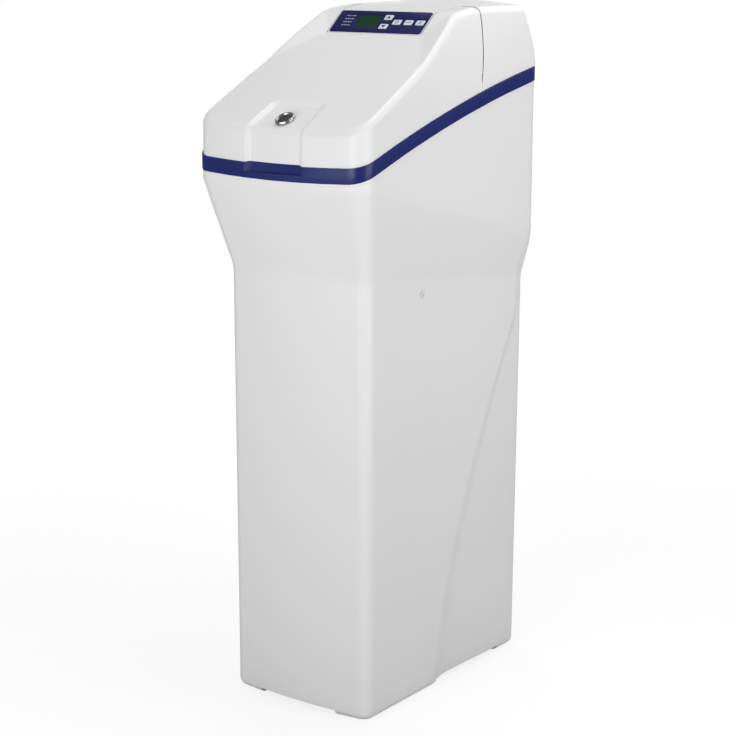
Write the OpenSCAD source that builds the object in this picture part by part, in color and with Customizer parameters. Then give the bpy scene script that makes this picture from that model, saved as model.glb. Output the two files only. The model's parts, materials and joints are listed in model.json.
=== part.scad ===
// Cabinet water softener. Millimetres, +Z up, front towards -Y, origin under the middle of the whole object.

/* [Cabinet] */
// Width of the straight lower body
body_w = 272; // [250:1:300]
// Depth of the straight lower body
body_d = 452; // [430:1:480]
// Radius of the lower body's upright corners
body_r = 22; // [15:1:30]
// Wall of the moulded cabinet
wall = 4; // [3:0.5:5]
// How far the front face bulges in plan
front_bow = 8; // [2:1:12]
// How far below the top the front starts to flare
bend_front_drop = 410; // [390:5:430]
// How far below the top the rear corners start to flare
bend_rear_drop = 460; // [440:5:480]
// Height of the short flare at the rear corners
rear_flare_h = 53; // [40:1:70]
// How far the front flares forward
front_flare = 44; // [30:1:50]
// How far each side flares outward
side_flare = 25; // [15:1:30]
// Corner radius at the rim
rim_r = 30; // [24:1:36]
// Depth of the rim below the top at the front
rim_front_drop = 255; // [240:5:270]
// Depth of the rim below the top at the rear
rim_rear_drop = 125; // [110:5:135]
// Rise of the rim's arc above its chord
rim_sag = 12; // [6:1:16]
// How far the rim's lip stands out
rim_lip = 1; // [0.5:0.5:2]
// Height of the rim's lip
lip_h = 4; // [3:0.5:6]
// Height of the inside floor
floor_z = 17; // [15:1:22]
// Height of the moulded feet
foot_h = 9; // [6:1:11]
// Length of the front feet along the sides
foot_front_l = 205; // [150:5:220]
// Length of the rear feet along the sides
foot_rear_l = 60; // [45:5:90]
// Width of the feet along the front
foot_w = 60; // [40:5:80]
// Rounding of the bottom edge
bottom_round = 12; // [8:1:14]
// Depth of the swept recess in each side
recess_d = 8; // [4:1:12]
// Start of the side recess behind the front face, at the bottom
recess_low_y = 215; // [200:5:240]
// Soft width of the recess edge at the bottom
recess_soft = 18; // [16:1:36]

/* [Collar] */
// Height of the collar band
band_h = 21.5; // [18:0.5:24]
// Thickness of the collar band
band_t = 3.5; // [3:0.5:5]
// How far the band stands out of the rim's lip
band_proud = 0.5; // [0.2:0.1:1]
// Width of the inner ledge
ledge_w = 10; // [8:1:14]
// Thickness of the inner ledge
ledge_t = 3; // [2:0.5:4]
// Width of the finger recess
grip_w = 114; // [100:2:136]
// Depth of the finger recess
grip_d = 9; // [6:1:12]
// Draft of the finger recess, sideways
grip_draft = 10; // [4:1:12]
// Height of the hollow's floor above the band's lower edge
grip_low = 10; // [4:0.5:12]

/* [Hood] */
// Overall height of the softener
total_h = 1110; // [1100:1:1125]
// Wall of the lid and of the rear cover
hood_wall = 3; // [2.5:0.5:4]
// How far the hood stands back from the band
hood_inset = 2.5; // [1:0.5:4]
// Depth of the lid's front edge below the top
front_edge_drop = 176; // [170:1:185]
// Rise of the lid's ridges, height per depth
ridge_rise = 0.56; // [0.54:0.01:0.58]
// Rise of the lid's flat top between the ridges
deck_rise = 0.515; // [0.49:0.005:0.53]
// Depth from the front face to the panel's lower edge
panel_low_y = 208; // [195:1:215]
// Angle of the control panel
panel_angle = 40.4; // [36:0.2:44]
// Margin of the panel face above and below the facia
panel_edge = 2; // [1.5:0.5:4]
// Margin of the rear cover's tongue beside the facia
tongue_edge = 2.5; // [2:0.5:4]
// How far below the top the sides start to lean in
lean_drop = 160; // [140:5:180]
// How far the sides lean in at the top
lean_in = 31; // [20:1:36]
// Rounding of the front and rear edges
edge_round = 12; // [8:1:14]
// Rounding of the ridges beside the lid's deck
ridge_round = 16; // [8:1:20]
// Seam between lid and rear cover, behind the front face at the band
seam_y = 276; // [270:1:285]
// Backward lean of the seam
seam_angle = 15.6; // [12:0.2:18]
// Gap of the seam
seam_gap = 1.6; // [0.8:0.1:2]
// Width of the lid's pocket at its floor
pocket_w = 92; // [80:2:104]
// Length of the pocket up the slope
pocket_l = 65; // [50:1:70]
// Depth of the pocket
pocket_d = 5; // [3:0.5:6]
// Draft of the pocket's walls, sideways
pocket_draft = 10; // [4:1:12]

/* [Hinge] */
// Radius of the lid's hinge knuckles
knuckle_r = 7; // [6.5:0.5:8]
// Radius of the hinge pins
pin_r = 2; // [1.5:0.5:2.5]
// How far the lid's hinge knuckles start outside the tongue
knuckle_out = 8.5; // [7:0.5:12]
// Width of the hinge brackets
bracket_w = 12; // [8:1:14]

/* [Lock] */
// Radius of the chrome bezel
bezel_r = 16; // [14:0.5:18]
// How far the bezel stands up
bezel_h = 5; // [3:0.5:6]
// Radius of the lock barrel
barrel_r = 10.5; // [9:0.5:11]
// Depth of the lock behind the pocket floor
lock_depth = 26; // [24:1:28]
// Length of the cam from the barrel's axis
cam_l = 26; // [23:1:27]

/* [Control panel] */
// Width of the facia
facia_w = 178; // [174:1:180]
// Height of the facia along the slope
facia_h = 49; // [47:0.5:50]
// Thickness of the facia
facia_t = 1.5; // [1.2:0.1:2]
// Width of a key
key_w = 16; // [14:0.5:17]
// Height of a key
key_h = 11; // [9:0.5:12]
// Travel of a key
key_travel = 0.8; // [0.5:0.1:1]
// Width of the display
display_w = 43; // [38:1:46]
// Height of the display
display_h = 27; // [22:1:29]

/* [Vessel] */
// Outer radius of the resin vessel
vessel_r = 103; // [98:1:105]
// Wall of the resin vessel
vessel_wall = 3.5; // [3:0.5:5]
// Outer radius of the vessel's neck
neck_r = 40; // [38:0.5:42]
// Height of the vessel's boot
boot_h = 120; // [90:5:150]
// Radius of the riser tube
riser_r = 13.4; // [12:0.1:14]
// Share of the vessel that the resin fills
resin_fill = 0.6; // [0.4:0.05:0.7]

/* [Valve] */
// Height of the inlet and outlet below the rear rim
port_drop = 55; // [50:1:60]
// Distance between inlet and outlet
port_pitch = 56; // [54:1:58]
// Radius of the spigots' thread
spigot_r = 13.2; // [12:0.1:13.4]
// Bore of the spigots
spigot_bore_r = 9.5; // [8:0.1:10]
// How far the spigots reach behind the cabinet
spigot_reach = 26; // [20:1:30]
// Radius of the valve body
valve_r = 50; // [48:1:54]
// Module of the drive gears
gear_module = 2; // [1.8:0.1:2]
// Teeth of the large gear
gear_teeth = 60; // [60:1:60]
// Teeth of the pinion
pinion_teeth = 15; // [15:1:15]
// Face width of the gears
gear_t = 8; // [6:1:10]
// Radius of the drive motor
motor_r = 22; // [18:1:24]

/* [Brine side] */
// Outer radius of the brine well
well_r = 39; // [36:0.5:41]
// Wall of the brine well
well_wall = 2; // [1.5:0.5:3]
// Depth of the brine well's top below the front rim
well_drop = 35; // [20:5:95]
// Radius of the safety float
float_r = 21; // [18:0.5:22]
// Length of the safety float
float_l = 90; // [60:5:110]
// Radius of the brine line
brine_line_r = 4.75; // [4:0.25:5]
// Height of the salt grid
grid_z = 150; // [120:5:180]
// Depth of the overflow below the rear bend
overflow_drop = 90; // [50:5:130]

/* [Fits] */
// Running clearance of pins and shafts
running = 0.05; // [0.03:0.01:0.08]
// Clearance between parts that don't fit tightly
loose = 0.3; // [0.3:0.05:0.5]

/* [Hidden] */
$fn = 48;
eps = 0.01;
corner_n = 6;
front_n = 3;
side_n = 6;
ridge_n = 6;
big = 400;

// The tongue and the hinge follow the facia
panel_l = facia_h + 2 * panel_edge;
tongue_hw = facia_w / 2 + tongue_edge;
knuckle_x = tongue_hw + knuckle_out;

// Heights, measured down from the top
bend_front_z = total_h - bend_front_drop;
bend_rear_z = total_h - bend_rear_drop;
rim_front_z = total_h - rim_front_drop;
rim_rear_z = total_h - rim_rear_drop;
front_edge_z = total_h - front_edge_drop;
lean_z = total_h - lean_drop;
well_top_z = rim_front_z - well_drop;
overflow_z = bend_rear_z - overflow_drop;

// Front face of the lower body, so that the whole object is centred in depth
front_y = -(body_d + spigot_reach - front_flare - rim_lip - band_proud) / 2;
rear_y = front_y + body_d;
rim_front_y = front_y - front_flare;
rim_hw = body_w / 2 + side_flare;

// Rim arc in the side view: radius and centre from its two ends and its rise
rim_chord = norm([body_d + front_flare, rim_rear_z - rim_front_z]);
rim_arc_r = (rim_chord * rim_chord / 4 + rim_sag * rim_sag) / (2 * rim_sag);
rim_cy = (rim_front_y + rear_y) / 2 + (rim_front_z - rim_rear_z) / rim_chord * (rim_sag - rim_arc_r);
rim_cz = (rim_front_z + rim_rear_z) / 2 + (body_d + front_flare) / rim_chord * (rim_sag - rim_arc_r);

function lerp(a, b, t) = a + (b - a) * t;
function rim_z(y) = rim_cz + sqrt(rim_arc_r * rim_arc_r - pow(y - rim_cy, 2));
function along(y) = (y - rim_front_y) / (rear_y - rim_front_y);

// Heights that bound the cabinet's zones at depth y: floor, bend, end of flare, rim
function zone_z(k, y) =
    k == 0 ? 0 :
    k == 1 ? lerp(bend_front_z, bend_rear_z, along(y)) :
    k == 2 ? lerp(rim_front_z - lip_h - 1, bend_rear_z + rear_flare_h, along(y)) :
    rim_z(y) - running;

// Side points as [depth, inward step]: even ones up to the recess edge, then the recessed one
function side_points(t, f, y0, y1) =
    let (soft = lerp(recess_soft, 8, t),
         crease = min(front_y + lerp(recess_low_y, body_d, pow(t, 1.5)), y1 - soft / 2 - 2))
    concat([for (k = [1:side_n]) [lerp(y0, crease - soft / 2, k / side_n), 0]],
           [[crease + soft / 2, recess_d * (1 - f)]]);

// Right half of the plan outline, front middle to rear middle
function half_outline(f, inset, t = 1) =
    let (hw = body_w / 2 + side_flare * f - inset,
         yf = front_y - front_flare * f + inset,
         yb = rear_y - inset,
         r = lerp(body_r, rim_r, f) - inset,
         side = side_points(t, f, yf + front_bow + r, yb - r),
         step = side[side_n][1])
    concat(
        [for (k = [0:front_n]) [(hw - r) * k / front_n, yf + front_bow * pow(k / front_n, 2)]],
        [for (k = [1:corner_n]) let (a = 90 * k / corner_n - 90)
            [hw - r + r * cos(a), yf + front_bow + r + r * sin(a)]],
        [for (s = side) [hw - s[1], s[0]]],
        [for (k = [0:corner_n]) let (a = 90 * k / corner_n)
            [hw - step - r + r * cos(a), yb - r + r * sin(a)]],
        [[0, yb]]);

function outline(f, inset, t = 1) =
    let (half = half_outline(f, inset, t))
    concat(half, [for (k = [len(half) - 2:-1:1]) [-half[k][0], half[k][1]]]);

// One loft ring: zone k, share t of the zone, flare f, inset, lift
function ring(level) =
    [for (p = outline(level[2], level[3], level[0] == 0 ? level[1] : 1))
        [p[0], p[1], lerp(zone_z(level[0], p[1]), zone_z(level[0] + 1, p[1]), level[1]) + level[4]]];

straight_t = [0.1, 0.2, 0.3, 0.4, 0.5, 0.6, 0.7, 0.8, 0.9, 1];
flare_t = [0.1, 0.35, 0.7, 0.95];
flare_f = [0.036, 0.297, 0.676, 0.946];

outer_levels = concat(
    [[0, 0, 0, bottom_round, 0], [0, 0, 0, bottom_round * (1 - sin(45)), bottom_round * (1 - cos(45))]],
    [[0, 0, 0, 0, bottom_round]],
    [for (t = straight_t) [0, t, 0, 0, 0]],
    [for (k = [0:3]) [1, flare_t[k], flare_f[k], 0, 0]],
    [[2, 0, 1, 0, 0], [2, 1, 1, 0, -lip_h - 0.8], [2, 1, 1, -rim_lip, -lip_h], [2, 1, 1, -rim_lip, 0]]);
inner_levels = concat(
    [[2, 1, 1, wall, 0], [2, 0, 1, wall, 0]],
    [for (k = [3:-1:0]) [1, flare_t[k], flare_f[k], wall, 0]],
    [for (k = [len(straight_t) - 1:-1:0]) [0, straight_t[k], 0, wall, 0]],
    [[0, 0, 0, wall, floor_z]]);

// Skin through a list of rings of equal length, closed at both ends
module loft(rings) {
    n = len(rings[0]);
    m = len(rings);
    polyhedron(
        points = [for (r = rings) each r],
        faces = concat(
            [[for (j = [0:n - 1]) j]],
            [for (i = [0:m - 2]) for (j = [0:n - 1]) let (a = i * n + j, b = i * n + (j + 1) % n)
                each [[a, a + n, b + n], [a, b + n, b]]],
            [[for (j = [n - 1:-1:0]) (m - 1) * n + j]]));
}

// Space inside the arc of the rim, raised by lift
module under_rim(lift) {
    translate([0, rim_cy, rim_cz])
        rotate([0, 90, 0])
            cylinder(r = rim_arc_r + lift, h = 2 * big, center = true, $fn = 1440);
}

// Upright prism of the rim's plan outline
module plan_prism(inset, z0 = rim_front_z - 60, z1 = total_h + 20) {
    translate([0, 0, z0])
        linear_extrude(z1 - z0)
            polygon(outline(1, inset));
}

function rounded_rect(w, h, r, n = 5) =
    [for (q = [0:3]) for (k = [0:n])
        let (a = 90 * q + 90 * k / n, sx = q == 0 || q == 3 ? 1 : -1, sy = q < 2 ? 1 : -1)
        [sx * (w / 2 - r) + r * cos(a), sy * (h / 2 - r) + r * sin(a)]];

module plate(w, h, t, r) {
    linear_extrude(t)
        polygon(rounded_rect(w, h, r));
}

module both_sides() {
    children();
    mirror([1, 0, 0]) children();
}

// Ports, vessel and valve places
vessel_y = rear_y - wall - 8 - vessel_r;
port_z = rim_rear_z - port_drop;
neck_top_z = port_z - 24;
boot_floor = 4;
vessel_z = floor_z + boot_floor + loose;
cutout_hw = port_pitch / 2 + 26;
nut_r = 24;
port_end_y = rear_y - 27;

// Overflow and plugs
overflow_x = 84;
overflow_hole_r = 9;
plug_hole_r = 3.2;
plug_y = front_y + 155;
plug_z = bend_front_z - 33;

module cabinet() {
    color("white")
        difference() {
            loft([for (l = concat(outer_levels, inner_levels)) ring(l)]);
            translate([-big, front_y + foot_front_l, -1])
                cube([2 * big, body_d - foot_front_l - foot_rear_l, foot_h + 1]);
            translate([-body_w / 2 + foot_w, front_y - 20, -1])
                cube([body_w - 2 * foot_w, body_d + 40, foot_h + 1]);
            translate([-cutout_hw, rear_y - wall - 10, neck_top_z - 4])
                cube([2 * cutout_hw, wall + 20, 72]);
            translate([overflow_x, rear_y - wall - 10, overflow_z])
                rotate([-90, 0, 0])
                    cylinder(r = overflow_hole_r, h = wall + 20);
            both_sides()
                translate([body_w / 2 - wall - 5, plug_y, plug_z])
                    rotate([0, 90, 0])
                        cylinder(r = plug_hole_r, h = wall + 15);
        }
}

module side_plugs() {
    color("gainsboro")
        both_sides()
            translate([body_w / 2, plug_y, plug_z])
                rotate([0, 90, 0]) {
                    translate([0, 0, -wall - 2])
                        cylinder(r = plug_hole_r - running, h = wall + 2);
                    cylinder(r1 = 4.5, r2 = 3.6, h = 1.4);
                }
}

// Collar
band_out = -rim_lip - band_proud;
hood_out = band_out + hood_inset;
ledge_in = band_out + band_t + ledge_w;
strike_screw_x = 10;
strike_screw_r = 1.5;
pad_l = 14;
pad_hw = 21;
pad_z = rim_z(rim_front_y + pocket_d + hood_wall + 6.5 + pad_l) + ledge_t;
cover_lug_x = 100;
cover_lug_h = 24;
cover_lug_w = 18;
cover_lug_t = 4;
cover_screw_z = rim_z(rear_y) + band_h + 12;
cover_screw_r = 2;

module band_shell(outside, inside, low, high) {
    intersection() {
        difference() {
            plan_prism(outside);
            plan_prism(inside, rim_front_z - 70, total_h + 30);
        }
        difference() {
            under_rim(high);
            under_rim(low);
        }
    }
}

// Tapered block: plan size at the bottom and at the top, from z 0 to h
module frustum(w0, l0, w1, l1, h) {
    loft([[for (p = [[1, 1], [-1, 1], [-1, -1], [1, -1]]) [p[0] * w0 / 2, p[1] * l0 / 2, 0]],
          [for (p = [[1, 1], [-1, 1], [-1, -1], [1, -1]]) [p[0] * w1 / 2, p[1] * l1 / 2, h]]]);
}

module at_strike_screws() {
    both_sides()
        translate([strike_screw_x, strike_web_y + 8.5, pad_z]) children();
}

module grip_hollow() {
    translate([0, rim_front_y + band_out + grip_d, rim_z(rim_front_y) + grip_low + band_h])
        rotate([90, 0, 0])
            frustum(grip_w - 2 * grip_draft, 2 * band_h, grip_w + 2 * grip_draft, 2 * band_h, 2 * grip_d);
}

module collar() {
    color("midnightblue")
        difference() {
            union() {
                band_shell(band_out, band_out + band_t, 0, band_h);
                band_shell(band_out + band_t - eps, ledge_in, 0, ledge_t);
                intersection() {
                    band_shell(band_out, band_out + grip_d + 3, 0, band_h);
                    translate([-grip_w / 2 - 6, rim_front_y - 20, rim_front_z - 20])
                        cube([grip_w + 12, 60, 80]);
                }
                translate([-pad_hw, rim_front_y + band_out + grip_d, rim_front_z - 10])
                    cube([2 * pad_hw, strike_web_y + pad_l - rim_front_y - band_out - grip_d,
                          pad_z - rim_front_z + 10]);
                both_sides()
                    translate([cover_lug_x - cover_lug_w / 2, cover_lug_y(), rim_z(rear_y) - 1])
                        cube([cover_lug_w, cover_lug_t, band_h + cover_lug_h]);
            }
            grip_hollow();
            both_sides()
                translate([cover_lug_x, cover_lug_y() - 1, cover_screw_z])
                    rotate([-90, 0, 0])
                        cylinder(r = cover_screw_r, h = cover_lug_t + 2);
            at_strike_screws() translate([0, 0, -40]) cylinder(r = strike_screw_r, h = 60);
            under_rim(0);
        }
}

// Rear face of the hood, and the lugs that stand against its inner side
rear_draft = 3;
rear_bend_z = rim_rear_z + 52;
rear_foot_z = rim_front_z - 50;
function rear_face_y(z) = z < rear_bend_z
    ? lerp(rear_y, rear_y - hood_out - rear_draft, (z - rear_foot_z) / (rear_bend_z - rear_foot_z))
    : lerp(rear_y - hood_out - rear_draft, rear_y - 16, (z - rear_bend_z) / (total_h - rear_bend_z));
function cover_lug_y() = rear_face_y(cover_screw_z) - hood_wall - loose - cover_lug_t;

// Hood form
deck_y0 = rim_front_y + 6;
lean_r = (lean_in * lean_in + pow(total_h - 8 - lean_z, 2)) / (2 * lean_in);
hood_hw = rim_hw - hood_out;
panel_y = front_y + panel_low_y;
panel_top_y = panel_y + panel_l * cos(panel_angle);
function deck_z(y) = front_edge_z + deck_rise * (y - deck_y0);
function ridge_z(y) = front_edge_z + ridge_rise * (y - deck_y0);
panel_top_z = deck_z(panel_y) + panel_l * sin(panel_angle);
ridge_end_y = panel_top_y + (panel_top_z - ridge_z(panel_top_y)) / (ridge_rise + 0.25);
function side_x(z) = z < lean_z ? hood_hw : hood_hw - lean_r + sqrt(lean_r * lean_r - pow(z - lean_z, 2));

// Side view of the hood: front face, ridge line, top and leaning rear face
module side_profile(inset) {
    offset(delta = -inset)
        offset(r = edge_round)
            offset(delta = -edge_round)
                polygon([[rim_front_y - hood_out + 4, rim_front_z - 50], [deck_y0, front_edge_z],
                         [ridge_end_y, ridge_z(ridge_end_y)], [panel_top_y + 55, panel_top_z + 7],
                         [rear_y - 16, total_h], [rear_y - hood_out - rear_draft, rear_bend_z],
                         [rear_y, rear_foot_z]]);
}

// Front view of the hood: upright sides that lean in, and a crowned top
module cross_profile(inset) {
    right = concat([[hood_hw, rim_front_z - 50]],
        [for (k = [0:6]) let (z = lerp(lean_z, total_h - 8, k / 6)) [side_x(z), z]],
        [[side_x(total_h - 8) / 2, total_h - 2]]);
    offset(delta = -inset)
        offset(r = edge_round)
            offset(delta = -edge_round)
                polygon(concat(right, [[0, total_h]],
                               [for (k = [len(right) - 1:-1:0]) [-right[k][0], right[k][1]]]));
}

// Space above the plane through a point with slopes sx and sy, lowered square to the plane by drop
module above(x, y, z, sx, sy, drop) {
    low = z - drop * sqrt(1 + sx * sx + sy * sy);
    corners = [[-big, -big], [big, -big], [big, big], [-big, big]];
    polyhedron(
        points = concat([for (c = corners) [c[0], c[1], low + sx * (c[0] - x) + sy * (c[1] - y)]],
                        [for (c = corners) [c[0], c[1], total_h + 6 * big]]),
        faces = [[0, 1, 2, 3], [7, 6, 5, 4], [0, 4, 5, 1], [1, 5, 6, 2], [2, 6, 7, 3], [3, 7, 4, 0]]);
}

// Shallow valley between the ridges: lid deck, panel face and the two facets beside the panel
facet_sx = (ridge_z(panel_y) - deck_z(panel_y)) / (side_x(ridge_z(panel_y)) - tongue_hw);
module valley(inset) {
    intersection() {
        above(0, deck_y0, front_edge_z, 0, deck_rise, inset);
        above(0, panel_y, deck_z(panel_y), 0, tan(panel_angle), inset);
        above(tongue_hw, panel_y, deck_z(panel_y), facet_sx, ridge_rise + 0.12, inset);
        above(-tongue_hw, panel_y, deck_z(panel_y), -facet_sx, ridge_rise + 0.12, inset);
    }
}

deck_angle = atan(deck_rise);
module on_deck(y, drop = 0) {
    translate([0, y, deck_z(y)])
        rotate([deck_angle, 0, 0])
            translate([0, 0, -drop])
                children();
}

// Pocket in the lid: a drafted tray up the slope and a drafted channel down the front face
module pocket(inset) {
    h = pocket_d + inset + 8;
    grow = 2 * pocket_draft * h / pocket_d;
    w = pocket_w + 2 * inset;
    l = 2 * (pocket_l + inset);
    on_deck(deck_y0, pocket_d + inset)
        frustum(w, l, w + grow, l + grow, h);
    translate([0, deck_y0 + pocket_d + inset - 1, front_edge_z])
        rotate([90, 0, 0])
            frustum(w, 240, w + grow, 240, h);
}

// Rounding of the ridges: planes that touch a circle along each ridge line
ridge_a = [hood_hw, deck_y0, front_edge_z];
ridge_b = [side_x(ridge_z(ridge_end_y)), ridge_end_y, ridge_z(ridge_end_y)];
ridge_dir = (ridge_b - ridge_a) / norm(ridge_b - ridge_a);
ridge_n1 = [0, -ridge_rise, 1] / norm([ridge_rise, 1]);
ridge_side = let (a = asin((lerp(ridge_a[2], ridge_b[2], 0.6) - lean_z) / lean_r)) [cos(a), 0, sin(a)];
ridge_out = ridge_side - (ridge_side * ridge_dir) * ridge_dir;
ridge_n2 = ridge_out / norm(ridge_out);
ridge_axis = ridge_b - ridge_round * (ridge_n1 + ridge_n2) / (1 + ridge_n1 * ridge_n2);
module ridge_cuts(inset) {
    both_sides()
        for (k = [1:ridge_n]) {
            mixed = lerp(ridge_n1, ridge_n2, k / (ridge_n + 1));
            n = mixed / norm(mixed);
            p = ridge_axis + ridge_round * n;
            above(p[0], p[1], p[2], -n[0] / n[2], -n[1] / n[2], inset);
        }
}

module hood(inset) {
    difference() {
        intersection() {
            rotate([90, 0, 90])
                linear_extrude(2 * big, center = true) side_profile(inset);
            rotate([90, 0, 0])
                linear_extrude(4 * big, center = true) cross_profile(inset);
            plan_prism(hood_out + inset);
        }
        valley(inset);
        pocket(inset);
        ridge_cuts(inset);
    }
}

module hood_shell() {
    difference() {
        hood(0);
        hood(hood_wall);
        under_rim(band_h + loose);
    }
}

// Hinge axis, just under the top and just ahead of the seam
seam_z = rim_z(front_y + seam_y) + band_h;
hinge_z = panel_top_z + 6 - knuckle_r;
hinge_y = front_y + seam_y + (hinge_z - seam_z) * tan(seam_angle) - knuckle_r - seam_gap;

module behind_seam(shift) {
    translate([0, front_y + seam_y + shift, seam_z])
        rotate([-seam_angle, 0, 0])
            translate([-big, 0, -big])
                cube(2 * big);
}

// Plan of the rear cover's tongue, grown by gap
module tongue(gap) {
    hw = tongue_hw + gap;
    kx = knuckle_x - seam_gap + gap;
    translate([0, 0, panel_top_z - 80])
        linear_extrude(200)
            polygon([[-hw, panel_y - gap], [hw, panel_y - gap], [hw, panel_top_y],
                     [kx, hinge_y - 3 * knuckle_r], [kx, hinge_y + 90], [-kx, hinge_y + 90],
                     [-kx, hinge_y - 3 * knuckle_r], [-hw, panel_top_y]]);
}

module hinge_bar(x0, x1, r) {
    translate([x0, hinge_y, hinge_z])
        rotate([0, 90, 0])
            cylinder(r = r, h = x1 - x0);
}

// Lock on the pocket floor
lock_y = front_y - 14;
lock_hole_r = barrel_r + 2;
module on_lock() {
    on_deck(lock_y, pocket_d) children();
}

module salt_lid() {
    color("whitesmoke")
        difference() {
            union() {
                difference() {
                    hood_shell();
                    behind_seam(-seam_gap / 2);
                    tongue(seam_gap / 2);
                    translate([-big, hinge_y, hinge_z - knuckle_r])
                        cube(2 * big);
                }
                intersection() {
                    hood(0);
                    both_sides() {
                        hinge_bar(knuckle_x, big, knuckle_r);
                        translate([knuckle_x, hinge_y - 2 * knuckle_r, hinge_z - knuckle_r])
                            cube([big, 2 * knuckle_r, 2 * knuckle_r]);
                    }
                }
            }
            both_sides()
                hinge_bar(knuckle_x - 1, knuckle_x + bracket_w + 8, pin_r + running);
            on_lock()
                cylinder(r = lock_hole_r + running, h = 40, center = true);
        }
}

// Control panel on the tongue's sloping face
module on_panel(x = 0, v = 0, z = 0) {
    translate([0, panel_y, deck_z(panel_y)])
        rotate([panel_angle, 0, 0])
            translate([x, panel_l / 2 + v, z])
                children();
}

facia_in = 1;
window_w = facia_w - 26;
window_h = facia_h - 13;
board_z = -hood_wall - 6.5;
board_t = 1.6;
board_w = facia_w - 8;
board_h = facia_h - 5;
post_x = board_w / 2 - 4;
post_v = 15;
post_r = 3.4;
panel_screw_r = 1.2;
socket_x = -60;
socket_z = rim_rear_z + 40;
socket_hole_r = 6;
socket_flange_r = socket_hole_r + 2.5;
socket_seat_y = rear_face_y(socket_z + socket_flange_r);
cover_head_r = 4.2;
cover_seat_y = rear_face_y(cover_screw_z + cover_head_r);

module spot_face(x, y, z, r) {
    translate([x, y, z])
        rotate([-90, 0, 0])
            cylinder(r = r + loose, h = 20);
}

module rear_cover() {
    color("whitesmoke")
        difference() {
            union() {
                intersection() {
                    hood_shell();
                    union() {
                        behind_seam(seam_gap / 2);
                        tongue(-seam_gap / 2);
                    }
                }
                both_sides() {
                    hinge_bar(knuckle_x - seam_gap - bracket_w, knuckle_x - seam_gap, knuckle_r - 1);
                    translate([knuckle_x - seam_gap - bracket_w, hinge_y - knuckle_r + 1, hinge_z])
                        cube([bracket_w, 2 * knuckle_r - 2, panel_top_z + 5 - hinge_z]);
                }
                for (x = [-post_x, post_x]) for (v = [-post_v, post_v])
                    on_panel(x, v, board_z)
                        cylinder(r = post_r, h = -board_z - hood_wall + 1);
            }
            both_sides() {
                hinge_bar(knuckle_x - seam_gap, big, knuckle_r + seam_gap / 2);
                translate([knuckle_x - seam_gap / 2, hinge_y - 90, hinge_z])
                    cube([big, 90 + knuckle_r + seam_gap, 60]);
                hinge_bar(knuckle_x - seam_gap - bracket_w + 2, knuckle_x, pin_r);
                translate([cover_lug_x, rear_y - 60, cover_screw_z])
                    rotate([-90, 0, 0])
                        cylinder(r = cover_screw_r + running, h = 100);
                spot_face(cover_lug_x, cover_seat_y, cover_screw_z, cover_head_r);
            }
            spot_face(socket_x, socket_seat_y, socket_z, socket_flange_r);
            on_panel(0, 0, -facia_in)
                plate(facia_w + 2 * loose, facia_h + 2 * loose, 20, 4);
            on_panel(0, 0, -hood_wall - 2)
                plate(window_w, window_h, 20, 3);
            on_panel(key_cols[3], 0, -hood_wall - 2)
                plate(key_w + 4, key_h + 4, 20, 3);
            for (x = [-post_x, post_x]) for (v = [-post_v, post_v])
                on_panel(x, v, board_z - 1)
                    cylinder(r = panel_screw_r, h = 7);
            translate([socket_x, rear_y - 60, socket_z])
                rotate([-90, 0, 0])
                    cylinder(r = socket_hole_r, h = 100);
        }
}

module hinge_pins() {
    color("silver")
        both_sides()
            hinge_bar(knuckle_x - seam_gap - bracket_w + 2 + running, knuckle_x + bracket_w + 6, pin_r);
}

cover_screw_l = cover_seat_y - cover_lug_y() + 2;
module cover_screws() {
    color("silver")
        both_sides()
            translate([cover_lug_x, cover_lug_y() - 2, cover_screw_z])
                rotate([-90, 0, 0]) {
                    cylinder(r = cover_screw_r, h = cover_screw_l);
                    translate([0, 0, cover_screw_l])
                        difference() {
                            cylinder(r1 = cover_head_r, r2 = cover_head_r - 0.8, h = 2.2);
                            translate([0, 0, 1.2]) cylinder(r = 1.4, h = 2, $fn = 6);
                        }
                }
}

module power_socket() {
    color("dimgray")
        translate([socket_x, socket_seat_y, socket_z])
            rotate([-90, 0, 0])
                difference() {
                    union() {
                        translate([0, 0, -hood_wall - 14])
                            cylinder(r = socket_hole_r - running, h = hood_wall + 14);
                        cylinder(r1 = socket_flange_r, r2 = socket_flange_r - 1, h = 2);
                    }
                    translate([0, 0, -12]) cylinder(r = 3, h = 40);
                }
}

// Keys: name, place across and along the facia
key_cols = [for (share = [0.0646, 0.1831, 0.3084, 0.4337]) share * facia_w];
key_row = 0.208 * facia_h;
display_x = -0.1376 * facia_w;
display_v = 1.6;
key_flange = 1;

module control_panel() {
    color("navy")
        difference() {
            on_panel(0, 0, -facia_in)
                plate(facia_w, facia_h, facia_t, 4 - loose);
            on_panel(display_x, display_v, -5)
                plate(display_w, display_h, 20, 1.5);
            for (v = [-key_row, key_row]) on_panel(key_cols[0], v, -5) plate(key_w, key_h, 20, 1.5);
            for (k = [1:3]) on_panel(key_cols[k], 0, -5) plate(key_w, key_h, 20, 1.5);
        }
}

module display_window() {
    color("darkslategray")
        on_panel(display_x, display_v, -facia_in)
            plate(display_w - 2 * running, display_h - 2 * running, facia_t - 0.3, 1.5);
}

module display_module() {
    color("darkgreen")
        on_panel(display_x, display_v, board_z + eps)
            plate(display_w + 4, display_h + 4, -facia_in - board_z - loose, 1);
}

switch_h = 1.2;
module circuit_board() {
    color("seagreen") {
        difference() {
            on_panel(0, 0, board_z - board_t)
                plate(board_w, board_h, board_t, 2);
            for (x = [-post_x, post_x]) for (v = [-post_v, post_v])
                on_panel(x, v, board_z - board_t - 1)
                    cylinder(r = panel_screw_r + running, h = 6);
        }
        for (v = [-key_row, key_row]) on_panel(key_cols[0], v, board_z) plate(6, 6, switch_h, 0.5);
        for (k = [1:3]) on_panel(key_cols[k], 0, board_z) plate(6, 6, switch_h, 0.5);
    }
}

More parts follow.
